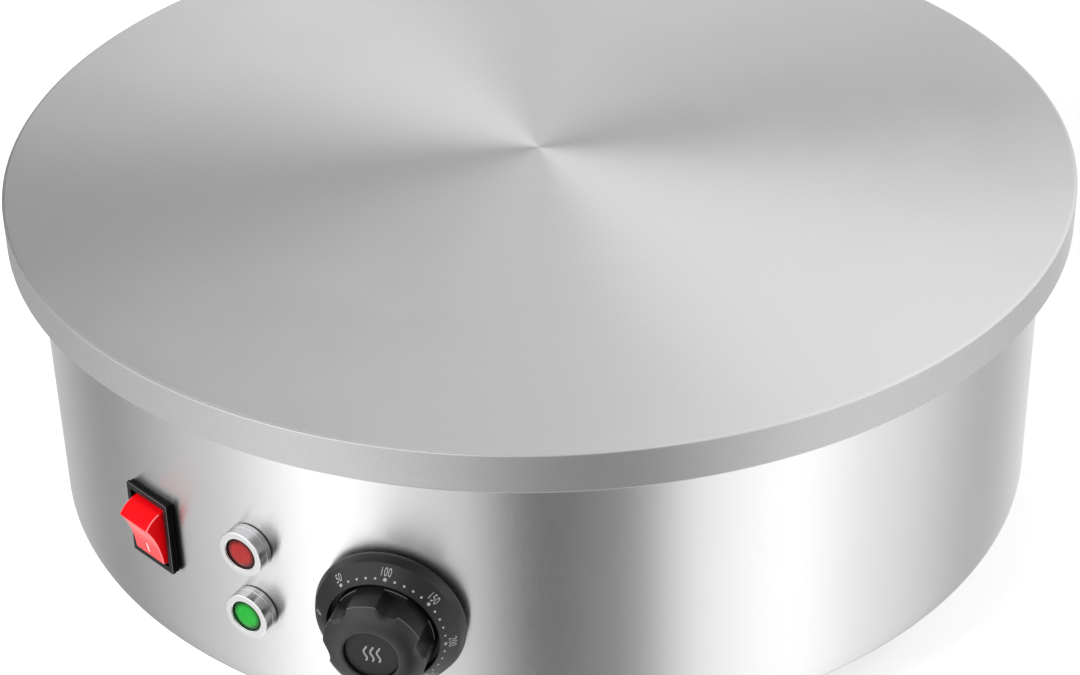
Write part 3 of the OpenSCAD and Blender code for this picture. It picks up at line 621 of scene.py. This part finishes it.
def build_switch_frame():
    """The frame: a back flange, a groove and a front plate, with a box behind that goes into the drum."""
    low, high = span("switch_frame")
    tall = (high.z - low.z) / 2
    wide = FRAME_HALF
    line = outline([
        (wide - 0.2, tall - 0.15, 0, 0.35, 0.05), (wide - 0.2, tall - 0.15, 1.2, 0.35, 0.08),
        (wide - 0.6, tall - 0.6, 1.22, 0.35, 0.05), (wide - 0.6, tall - 0.6, 1.58, 0.35, 0.05),
        (wide, tall, 1.6, 0.35, 0.06), (wide, tall, FRAME_OUT, 0.35, 0.16), (*OPENING, FRAME_OUT, 0.3, 0.14),
        (*OPENING, 1.0, 0.3, 0.1), (*BOX_INSIDE, 0.95, 0.3, 0.1), (*BOX_INSIDE, FRAME_BACK, 0.3, 0),
        (*BOX_OUTSIDE, FRAME_BACK, 0.4, 0), (*BOX_OUTSIDE, 0, 0.4, 0),
    ], steps=3)
    bm = bmesh.new()
    frame_loft(bm, line)
    obj = make("switch_frame_look", bm, AT_SWITCH, sharp=50)
    across = Matrix.Translation((0, 0, PIVOT_Z)) @ Matrix.Rotation(math.pi / 2, 4, "Y")
    pin_holes = bmesh.new()
    rod_mesh(pin_holes, PIN_HOLE_R, -10, 10, across, 0.0, 32)
    cut(obj, make("pin_holes", pin_holes, AT_SWITCH), 50)
    even_normals(obj)
    dress(obj, "switch_black", stands_for=["switch_frame"])

    def on_front_edge(r, x, y, z, n):
        return FRAME_OUT - 0.2 < z < FRAME_OUT - 0.001 and (abs(x) > wide - 0.2 or abs(y) > tall - 0.2)

    paint(obj, "switch_face", lambda r, x, y, z, n: z > FRAME_OUT - 0.01 and n.z > 0.99)
    # Painted highlight in a lighter grey along the front plate's outer edges
    paint(obj, "switch_edge_highlight", on_front_edge)


# Side view of the rocker from its pivot: its round ends, its hollow front and its flat back
END_X, END_R = 2.0, 11.3
DISH_X, DISH_R = 7.75, 36.8
BACK_X = -2.2
ROCKER_HALF, ROCKER_EDGE = 7.8, 0.45
PIN_FROM, PIN_TO = 7.0, 9.1


def dish_x(y):
    """How far the rocker's hollow front stands out from its pivot, at a height y."""
    return DISH_X + DISH_R - math.sqrt(DISH_R ** 2 - y ** 2)


def rocker_outline():
    """Side view of the rocker, as (out, up) from its pivot, with rounded corners."""
    # Steps to the height where the hollow front meets the round end
    y = 8.97
    for _ in range(30):
        y = math.sqrt(END_R ** 2 - (dish_x(y) - END_X) ** 2)
    tip = Vector((dish_x(y), y))
    start = math.atan2(tip.y, tip.x - END_X)
    stop = math.acos((BACK_X - END_X) / END_R)
    turns = [start + (stop - start) * k / 14 for k in range(1, 14)]
    arc = [(END_X + END_R * math.cos(turn), END_R * math.sin(turn)) for turn in turns]
    back = (BACK_X, END_R * math.sin(stop))
    dish = [(dish_x(tip.y * (1 - k / 12)), tip.y * (1 - k / 12)) for k in range(1, 24)]
    points = [(*tip, 0.55)] + [(*p, 0) for p in arc] + [(*back, 0.5), (back[0], -back[1], 0.5)]
    points += [(p[0], -p[1], 0) for p in reversed(arc)] + [(tip.x, -tip.y, 0.55)]
    points += [(x, y, 0) for x, y in reversed(dish)]
    return outline(points, steps=5)


def drawn_in(line, depth):
    """The closed line moved inwards by depth."""
    area = sum(a.x * b.y - b.x * a.y for a, b in zip(line, line[1:] + line[:1]))
    side = 1 if area > 0 else -1
    moved = []
    for k, here in enumerate(line):
        along = (line[(k + 1) % len(line)] - line[k - 1]).normalized()
        moved.append(here + Vector((-along.y, along.x)) * depth * side)
    return moved


def build_rocker():
    """The rocker with its rounded edges and its two pins, and the bar that is printed on it."""
    line = rocker_outline()
    half_width, edge = ROCKER_HALF, ROCKER_EDGE
    tilt = Matrix.Translation((0, 0, PIVOT_Z)) @ Matrix.Rotation(ROCKER_TILT, 4, "X")
    stations = []
    for k in range(5):
        angle = k / 4 * math.pi / 2
        stations.append((-(half_width - edge + edge * math.cos(angle)), edge * (1 - math.sin(angle))))
    stations += [(-x, inset) for x, inset in reversed(stations)]
    bm = bmesh.new()
    rings = []
    for x, inset in stations:
        ring = [bm.verts.new(tilt @ Vector((x, p.y, p.x))) for p in drawn_in(line, inset)]
        rings.append(ring)
    skin(bm, rings, False)
    bm.faces.new(rings[0])
    bm.faces.new(rings[-1])
    for side in (-1, 1):
        place = tilt @ Matrix.Rotation(math.pi / 2, 4, "Y")
        low, high = sorted((side * PIN_FROM, side * PIN_TO))
        rod_mesh(bm, PIN_R, low, high, place, 0.0, 32)
    obj = make("rocker_look", bm, AT_SWITCH, sharp=40)
    even_normals(obj)
    dress(obj, "rocker_red", "rocker", ["switch_rocker"])
    level = tilt.inverted()

    def in_dish(r, x, y, z, n):
        spot = level @ Vector((x, y, z))
        return abs(x) < half_width - edge + 0.1 and abs(spot.y) < 9.1 and abs(spot.z - dish_x(spot.y)) < 0.05

    def on_edge(r, x, y, z, n):
        spot = level @ Vector((x, y, z))
        return half_width - edge < abs(x) < half_width - 0.02 and spot.z > 2

    paint(obj, "rocker_front", in_dish)
    # Painted highlight in a paler red along the rounded side edges
    paint(obj, "rocker_edge_highlight", on_edge)

    bar = bmesh.new()
    low, high, half = -7.3, -3.2, 0.42
    rows = 8
    grid = []
    for depth in (0.04, -0.1):
        side = []
        for k in range(rows + 1):
            y = low + (high - low) * k / rows
            out = dish_x(y) + depth
            side.append([bar.verts.new(tilt @ Vector((x, y, out))) for x in (-half, half)])
        grid.append(side)
    for k in range(rows):
        bar.faces.new((grid[0][k][0], grid[0][k][1], grid[0][k + 1][1], grid[0][k + 1][0]))
        bar.faces.new((grid[1][k][0], grid[1][k + 1][0], grid[1][k + 1][1], grid[1][k][1]))
        for x in (0, 1):
            bar.faces.new((grid[0][k][x], grid[0][k + 1][x], grid[1][k + 1][x], grid[1][k][x]))
    for k in (0, rows):
        bar.faces.new((grid[0][k][0], grid[1][k][0], grid[1][k][1], grid[0][k][1]))
    mark = make("rocker_mark", bar, AT_SWITCH)
    dress(mark, "rocker_red", "rocker", material="switch_mark")


# ---------------------------------------------------------------- lamps


LAMP_R, LAMP_OUT = 8.7, 6.5
RING_BORE_R = 6.1
LENS_R, LENS_TOP, LENS_CURVE = 5.3, 6.4, 18.0
GASKET_R, GASKET_T = 8.1, 0.4


def build_lamp(colour, place):
    """A chrome ring with a fine groove, its domed lens and the gasket behind it."""
    ring = bmesh.new()
    lathe(ring, outline([
        (LAMP_R, GASKET_T, 0.12), (LAMP_R, 2.35, 0.06), (LAMP_R - 0.25, 2.6, 0.06), (LAMP_R, 2.85, 0.06),
        (LAMP_R, LAMP_OUT, 0.3), (6.3, LAMP_OUT, 0.12), (6.3, 6.1, 0.06), (RING_BORE_R, 6.1, 0.05),
        (RING_BORE_R, GASKET_T, 0),
    ], steps=4), 128)
    ring_look = make(f"{colour}_lamp_ring_look", ring, place, sharp=50)
    even_normals(ring_look)
    dress(ring_look, "lamp_chrome", stands_for=[f"{colour}_lamp_ring"])
    # The ring's side and its groove get the darker copy of the chrome: painted shade and a painted darker
    # reflection
    paint(ring_look, "lamp_side_painted_shade", lambda r, x, y, z, n: r > LAMP_R - 0.4 and z < LAMP_OUT - 0.3)

    glass = bmesh.new()
    steps = 12
    radii = [LENS_R * k / steps for k in range(steps)]
    dome = [(r, LENS_TOP - LENS_CURVE + math.sqrt(LENS_CURVE ** 2 - r ** 2), 0) for r in radii]
    edge = [(LENS_R, 5.6, 0.35), (5.4, 5.0, 0.1), (6.0, 5.0, 0.1), (6.0, 4.6, 0), (0, 4.6, 0)]
    lathe(glass, outline(dome + edge, closed=False), 96, closed=False)
    glass_look = make(f"{colour}_lamp_lens_look", glass, place, sharp=50)
    dress(glass_look, f"lens_{colour}", stands_for=[f"{colour}_lamp_lens"])

    gasket = bmesh.new()
    lathe(gasket, outline([
        (RING_BORE_R, 0, 0), (GASKET_R, 0, 0.1), (GASKET_R, GASKET_T, 0.1), (RING_BORE_R, GASKET_T, 0),
    ]), 96)
    gasket_look = make(f"{colour}_lamp_gasket_look", gasket, place)
    dress(gasket_look, "foot_rubber", stands_for=[f"{colour}_lamp_gasket"])


# ---------------------------------------------------------------- knob

# Radii, and distances in front of the drum's wall, marked S
SKIRT_R, GRIP_R, REACH = 26.5, 17.8, 24.3
RIM_S, DOME_S = 3.2, 20.6
DIAL_LOW, DIAL_HIGH = (25.5, 6.3), (20.0, 11.4)
MOAT_R, MOAT_S = 19.7, 7.2
RECESS_R, HUB_R = 9.6, 5.6
CAP_R, CAP_T, CAP_DEPTH = 9.5, 1, 2.5
FLUTE_R, FLUTE_AT, FLUTE_S = 5.2, 20.7, 10.6
FLUTES, FIRST_FLUTE = 6, math.radians(17.6)


def flute_wall(angle):
    """Distance from the knob's axis to the nearest finger flute, at an angle from x towards y."""
    clockwise = math.pi / 2 - angle
    pitch = 2 * math.pi / FLUTES
    away = (clockwise - FIRST_FLUTE + pitch / 2) % pitch - pitch / 2
    miss = FLUTE_AT * math.sin(abs(away))
    if miss < FLUTE_R:
        return FLUTE_AT * math.cos(away) - math.sqrt(FLUTE_R ** 2 - miss ** 2)
    return FLUTE_AT * math.cos(away) + (miss - FLUTE_R) * 6


def soft_min(a, b, blend):
    """The smaller of two numbers, with a rounded change from one to the other."""
    near = max(blend - abs(a - b), 0) / blend
    return min(a, b) - near * near * blend / 4


def build_knob():
    """The skirt with its dial, a groove, the fluted grip with its domed front, and the cap."""
    wide, tall = GRIP_R - RECESS_R - 0.4, REACH - DOME_S
    arc_r = (wide * wide + tall * tall) / (2 * tall)
    dome = []
    for k in range(1, 17):
        angle = math.asin(wide / arc_r) * (1 - k / 16)
        dome.append((GRIP_R - wide + arc_r * math.sin(angle), REACH - arc_r * (1 - math.cos(angle)), 0))
    side_from = FLUTE_S + 0.2
    side = [(GRIP_R, side_from + k * (DOME_S - side_from) / 8, 0) for k in range(8)] + [(GRIP_R, DOME_S, 0.3)]
    seat = REACH - CAP_DEPTH
    # The hollow behind the grip and the skirt
    grip_in, moat_in, floor_s, skirt_in = GRIP_R - 4.4, MOAT_R + 1.4, MOAT_S - 1.6, DIAL_LOW[0] - 1.2
    line = outline(
        [
            (skirt_in, 2, 0), (SKIRT_R, 2, 0.25), (SKIRT_R, RIM_S, 0.3), (*DIAL_LOW, 0.3),
            (*DIAL_HIGH, 0.2), (MOAT_R, DIAL_HIGH[1], 0.1), (MOAT_R, MOAT_S, 0.3), (GRIP_R, MOAT_S, 0.3),
            (GRIP_R, FLUTE_S - 0.15, 0), (GRIP_R, FLUTE_S, 0), (GRIP_R, FLUTE_S + 0.02, 0),
        ]
        + side + dome
        + [
            (RECESS_R, REACH - 0.15, 0.25), (RECESS_R, seat, 0), (HUB_R, seat, 0), (HUB_R, 2.8, 0),
            (HUB_R, DOME_S - 1, 0), (GRIP_R - 6, DOME_S - 1, 0.5), (grip_in, DOME_S - 2, 0.5),
            (grip_in, floor_s, 0.3), (moat_in, floor_s, 0.3),
            (moat_in, DIAL_HIGH[1] - 3.4, 0.3), (skirt_in, DIAL_LOW[1] - 1.4, 0.3),
        ],
        steps=4,
    )

    def reach(r, z, angle):
        if abs(z - FLUTE_S) < 0.01 and r > GRIP_R - 0.01:
            return min(r, max(flute_wall(angle), r - 0.15))
        inner_wall = z < DOME_S - 0.5 and r < GRIP_R - 1
        if z > FLUTE_S + 0.01 and RECESS_R + 0.5 < r < GRIP_R + 0.01 and not inner_wall:
            return soft_min(r, flute_wall(angle), 0.5)
        return r

    bm = bmesh.new()
    lathe(bm, line, 360, reach=reach)
    obj = make("knob_look", bm, AT_KNOB, sharp=38)
    dress(obj, "knob_black", "knob", ["knob_body"])

    def on_grip(r, x, y, z, n):
        return MOAT_S - 0.5 < z < DOME_S - 0.1 and 12 < r < MOAT_R + 0.05

    def on_dome_edge(r, x, y, z, n):
        return abs(z - DOME_S) < 0.16 and r > GRIP_R - 0.45

    def on_flute_foot(r, x, y, z, n):
        return FLUTE_S - 0.16 < z < FLUTE_S and GRIP_R - 0.2 < r < GRIP_R - 0.03

    paint(obj, "knob_grip", on_grip)
    paint(obj, "knob_top", lambda r, x, y, z, n: z > DOME_S + 0.1 and r > RECESS_R)
    # Painted highlight in a lighter grey on the fillet at the dome's edge and at the foot of the flutes
    paint(obj, "knob_edge_highlight", on_dome_edge)
    paint(obj, "knob_edge_highlight", on_flute_foot)
    settle(obj)

    cap = bmesh.new()
    lathe(cap, outline([
        (0, seat + CAP_T, 0), (4, seat + CAP_T, 0), (CAP_R, seat + CAP_T, 0.25), (CAP_R, seat, 0),
        (0, seat, 0),
    ], closed=False), 96, closed=False)
    cap_obj = make("knob_cap_look", cap, AT_KNOB)
    even_normals(cap_obj)
    dress(cap_obj, "cap_grey", "knob", ["knob_cap"])
    build_cap_symbol(seat + CAP_T)


def build_cap_symbol(height):
    """Three wavy heat lines, printed flat on the cap."""
    bm = bmesh.new()
    steps, tall, swing, width = 28, 6.4, 0.55, 0.34
    waves = 2 * math.pi * 1.25
    for column in (-2.3, 0, 2.3):
        rings = []
        for k in range(steps + 1):
            t = k / steps
            y = tall * (t - 0.5)
            x = column + swing * math.sin(t * waves)
            slope = swing * math.cos(t * waves) * waves / tall
            across = Vector((1, -slope)).normalized() * width * min(1.0, 0.35 + 4 * math.sin(math.pi * t))
            rings.append([
                bm.verts.new((x + side * across.x, y + side * across.y, height + z))
                for side, z in ((-1, -0.1), (-1, 0.03), (1, 0.03), (1, -0.1))
            ])
        skin(bm, rings, False)
        bm.faces.new(rings[0])
        bm.faces.new(rings[-1])
    dress(make("knob_cap_symbol", bm, AT_KNOB), "cap_grey", "knob", material="printed_symbol")


# The printed scale stands on the skirt's cone
CONE_FALL = math.atan2(DIAL_HIGH[1] - DIAL_LOW[1], DIAL_LOW[0] - DIAL_HIGH[0])
SCALE_R = 21.5
SCALE_FROM, SCALE_TO = (math.radians(limit) for limit in KNOB_TURN["range_deg"])
SCALE_END, SCALE_STEP = 300, 50
NUMBER_TALL, NUMBER_NARROW, NUMBER_OUT = 3.0, 0.62, 1.2
SMALL_DOT_R, LARGE_DOT_R = 0.42, 0.62
INK = 0.03


def on_cone(clockwise, along, out, lift):
    """Point on the skirt: turned clockwise from the top, shifted along the circle, out along the slope."""
    r = SCALE_R + out * math.cos(CONE_FALL)
    s = DIAL_HIGH[1] - (r - DIAL_HIGH[0]) * math.tan(CONE_FALL)
    r += lift * math.sin(CONE_FALL)
    s += lift * math.cos(CONE_FALL)
    angle = clockwise + along / r
    return Vector((r * math.sin(angle), r * math.cos(angle), s))


def number_mesh(text, height, squeeze):
    """Flat mesh of a number, centred, in mm, cut into narrow strips so that it can be bent."""
    curve = bpy.data.curves.new("number", "FONT")
    curve.body = text
    curve.size = height / 0.7
    curve.resolution_u = 4
    curve.space_character = 1.05
    obj = bpy.data.objects.new("number", curve)
    SCENE.collection.objects.link(obj)
    mesh = evaluated_mesh(obj)
    bpy.data.objects.remove(obj)
    bm = bmesh.new()
    bm.from_mesh(mesh)
    bmesh.ops.remove_doubles(bm, verts=bm.verts, dist=1e-5)
    xs = [v.co.x for v in bm.verts]
    middle = (min(xs) + max(xs)) / 2
    for v in bm.verts:
        v.co.x = (v.co.x - middle) * squeeze
    reach = (max(xs) - min(xs)) / 2 * squeeze
    strip = 0.3
    x = -reach + strip
    while x < reach:
        everything = bm.verts[:] + bm.edges[:] + bm.faces[:]
        bmesh.ops.bisect_plane(bm, geom=everything, plane_co=(x, 0, 0), plane_no=(1, 0, 0), dist=1e-5)
        x += strip
    flat = bpy.data.meshes.new("number")
    bm.to_mesh(flat)
    bm.free()
    return flat


def build_scale():
    """A dot for every ten degrees from 50 up, and a number for every fifty."""
    per_degree = (SCALE_TO - SCALE_FROM) / SCALE_END
    bm = bmesh.new()
    count = 16

    def dot_ring(turn, radius, lift):
        turns = [2 * math.pi * k / count for k in range(count)]
        return [bm.verts.new(on_cone(turn, radius * math.sin(a), radius * math.cos(a), lift)) for a in turns]

    for value in range(SCALE_STEP, SCALE_END + 1, 10):
        radius = SMALL_DOT_R if value % SCALE_STEP else LARGE_DOT_R
        turn = SCALE_FROM + value * per_degree
        middle = bm.verts.new(on_cone(turn, 0, 0, INK + 0.015))
        ring = dot_ring(turn, radius, INK)
        foot = dot_ring(turn, radius, -0.08)
        skin(bm, [[middle], ring, foot], False)
        bm.faces.new(foot)
    dots = make("knob_scale_dots", bm, AT_KNOB)
    dress(dots, "knob_black", "knob", material="printed_marks")

    numbers = bmesh.new()
    for value in range(0, SCALE_END + 1, SCALE_STEP):
        flat = number_mesh(str(value), NUMBER_TALL, NUMBER_NARROW)
        turn = SCALE_FROM + value * per_degree
        for v in flat.vertices:
            v.co = on_cone(turn, v.co.x, v.co.y + NUMBER_OUT, INK)
        numbers.from_mesh(flat)
        bpy.data.meshes.remove(flat)
    obj = make("knob_scale_numbers", numbers, AT_KNOB)
    thick = obj.modifiers.new("Ink", "SOLIDIFY")
    thick.thickness = 2 * INK * MM
    thick.offset = -1
    dress(obj, "knob_black", "knob", material="printed_marks")


# ---------------------------------------------------------------- cable gland


HEX_FLAT, HEX_CORNER = 12.0, 13.86
THREAD_R, BORE_R, SEAL_R = 10, 7.2, 8.05


def build_gland():
    """The gland's body and its cap nut, each with a hexagon for a spanner."""

    def hexagon(r, z, angle):
        face = angle % (math.pi / 3) - math.pi / 6
        return min(r, HEX_FLAT / math.cos(face)) if r > HEX_FLAT else r

    wide = HEX_CORNER
    body = bmesh.new()
    lathe(body, outline([
        (BORE_R, 0, 0), (BORE_R, -14, 0), (THREAD_R, -14, 0.4), (THREAD_R, 0, 0), (wide - 0.9, 0, 0),
        (wide, 0.6, 0), (wide, 3.9, 0), (wide - 0.9, 4.5, 0), (THREAD_R, 4.5, 0), (THREAD_R, 10, 0.4),
        (SEAL_R, 10, 0), (SEAL_R, 4, 0), (BORE_R, 4, 0),
    ]), 192, reach=hexagon)
    dress(make("cable_gland_look", body, AT_INLET, sharp=25), "black_plastic", stands_for=["cable_gland"])

    cap = bmesh.new()
    lathe(cap, outline([
        (10.05, 4.7, 0), (wide - 0.7, 4.7, 0), (wide, 5.2, 0), (wide, 10, 0), (11.9, 11.2, 0.6),
        (10.9, 14, 2.5), (8.6, 16.9, 0.8), (6.2, 17, 0.5), (5.6, 16.4, 0), (5.6, 12.5, 0),
        (SEAL_R, 12.5, 0), (SEAL_R, 10.6, 0), (10.05, 10.6, 0),
    ]), 192, reach=hexagon)
    dress(make("gland_cap_look", cap, AT_INLET, sharp=25), "black_plastic", stands_for=["gland_cap"])


# ---------------------------------------------------------------- build

build_plate()
build_drum()
for corner in ("front_left", "front_right", "rear_left", "rear_right"):
    build_foot("foot_" + corner)
build_switch_frame()
build_rocker()
build_lamp("red", AT_RED)
build_lamp("green", AT_GREEN)
build_knob()
build_scale()
build_gland()

# ---------------------------------------------------------------- studio


FLOOR_HALF = 9000
# In metres and degrees
LIGHTS_AIM = (0, 0, 0.1)
CAMERA_SPOT, CAMERA_TURNS, CAMERA_LENS = (0, -0.8922, 0.6443), (33.02, -0.07, -1.31), 90.03


def build_floor():
    """White paper, lit from within a little, that mirrors don't see and that is clear from below."""
    bm = bmesh.new()
    around = ((-1, -1), (1, -1), (1, 1), (-1, 1))
    corners = [bm.verts.new((x * FLOOR_HALF, y * FLOOR_HALF, 0)) for x, y in around]
    bm.faces.new(corners)
    floor = make("studio_floor", bm)
    material, tree, principled = shader("studio_floor")
    tree.nodes.remove(principled)
    output = tree.nodes["Material Output"]
    paper = noise(tree, spots(tree), 6, 2)
    diffuse = node(tree, "BsdfDiffuse", {"Color": tint(tree, paper, (0.9, 0.9, 0.9), (0.92, 0.92, 0.92))})
    lit = node(tree, "Emission", {"Color": (1, 1, 1, 1), "Strength": 0.55})
    top = node(tree, "AddShader", {0: diffuse.outputs[0], 1: lit.outputs[0]})
    clear = node(tree, "BsdfTransparent")
    under = node(tree, "NewGeometry").outputs["Backfacing"]
    both = node(tree, "MixShader", {0: under, 1: top.outputs[0], 2: clear.outputs[0]})
    tree.links.new(both.outputs[0], output.inputs["Surface"])
    floor.data.materials.append(material)
    floor.visible_glossy = False


def band(tree, turn, stops):
    """Brightness around the studio. stops are (degrees from the front, brightness / 2)."""
    ramp = node(tree, "ValToRGB", {"Fac": turn})
    ramp.color_ramp.interpolation = "EASE"
    elements = ramp.color_ramp.elements
    for k, (angle, value) in enumerate(stops):
        at = (angle + 180) / 360
        element = elements[k] if k < 2 else elements.new(at)
        element.position = at
        element.color = (value, value, value, 1)
    return ramp.outputs["Color"]


def build_world():
    """Soft boxes to the left and right of the front, and a darker back; white behind the object."""
    world = bpy.data.worlds.new("studio")
    world.use_nodes = True
    tree = world.node_tree
    tree.nodes.clear()
    way = node(tree, "SeparateXYZ", {0: node(tree, "TexCoord").outputs["Generated"]})
    back = node(tree, "Math", {0: way.outputs["Y"], 1: -1.0}, operation="MULTIPLY").outputs[0]
    angle = node(tree, "Math", {0: way.outputs["X"], 1: back}, operation="ARCTAN2").outputs[0]
    turn = remap(tree, angle, 0, 1, -math.pi, math.pi)
    low_band = band(tree, turn, [
        (-180, 0.67), (-150, 0.31), (-118, 0.14), (-80, 0.33), (-50, 0.68), (-25, 0.39),
        (-2, 0.03), (16, 0.1), (38, 0.53), (58, 0.65), (80, 0.45), (120, 0.22), (152, 0.43), (180, 0.67),
    ])
    high_band = band(tree, turn, [
        (-180, 0.48), (-165, 0.03), (-150, 0.03), (-130, 0.58), (-108, 0.75), (-40, 0.75), (-20, 0.75),
        (0, 0.39), (20, 0.24), (40, 0.3), (60, 0.72), (85, 0.75), (145, 0.75), (165, 0.52), (180, 0.48),
    ])
    up = remap(tree, way.outputs["Z"], 0, 1, -0.1, 0.3)
    both = {"Factor": up, "A": low_band, "B": high_band}
    sides = node(tree, "Mix", both, data_type="RGBA").outputs["Result"]
    down = remap(tree, way.outputs["Z"], 1, 0, -0.92, -0.8)
    glossy = node(tree, "Mix", {"Factor": down, "A": sides}, data_type="RGBA")
    glossy.inputs["B"].default_value = (0.5, 0.5, 0.5, 1)
    seen = node(tree, "Background", {"Color": glossy.outputs["Result"], "Strength": 2.0})
    soft = node(tree, "Background", {"Color": (1, 1, 1, 1), "Strength": 0.4})
    white = node(tree, "Background", {"Color": (1, 1, 1, 1), "Strength": 1.05})
    path = node(tree, "LightPath")
    lit = node(tree, "MixShader", {0: path.outputs["Is Glossy Ray"], 1: soft.outputs[0], 2: seen.outputs[0]})
    full = node(tree, "MixShader", {0: path.outputs["Is Camera Ray"], 1: lit.outputs[0], 2: white.outputs[0]})
    output = tree.nodes.new("ShaderNodeOutputWorld")
    tree.links.new(full.outputs[0], output.inputs["Surface"])
    SCENE.world = world


def build_light(name, spot, size, watts):
    """A round area light at a spot, aimed at the griddle, that mirrors don't see."""
    light = bpy.data.lights.new(name, "AREA")
    light.shape = "DISK"
    light.size = size
    light.energy = watts
    obj = bpy.data.objects.new(name, light)
    obj.location = spot
    obj.rotation_euler = (Vector(LIGHTS_AIM) - Vector(spot)).to_track_quat("-Z", "Y").to_euler()
    obj.visible_glossy = False
    SCENE.collection.objects.link(obj)


def build_camera():
    """Stands in front of the griddle and looks down on it, as in a product picture."""
    pitch, yaw, roll = (math.radians(turn) for turn in CAMERA_TURNS)
    ahead = Vector((math.sin(yaw) * math.cos(pitch), math.cos(yaw) * math.cos(pitch), -math.sin(pitch)))
    right = Vector((math.cos(yaw), -math.sin(yaw), 0))
    up = right.cross(ahead)
    right, up = right * math.cos(roll) + up * math.sin(roll), up * math.cos(roll) - right * math.sin(roll)
    data = bpy.data.cameras.new("camera")
    data.lens = CAMERA_LENS
    data.sensor_width = 36
    data.clip_start, data.clip_end = 0.05, 60
    camera = bpy.data.objects.new("camera", data)
    facing = Matrix((right, up, -ahead)).transposed().to_4x4()
    camera.matrix_world = Matrix.Translation(CAMERA_SPOT) @ facing
    SCENE.collection.objects.link(camera)
    SCENE.camera = camera


build_floor()
build_world()
build_light("key", (-1.6, -1.3, 1.2), 1.0, 44)
build_light("fill", (1.6, -0.6, 1.5), 1.4, 6)
build_camera()
SCENE.view_settings.view_transform = "Standard"
SCENE.view_settings.look = "None"
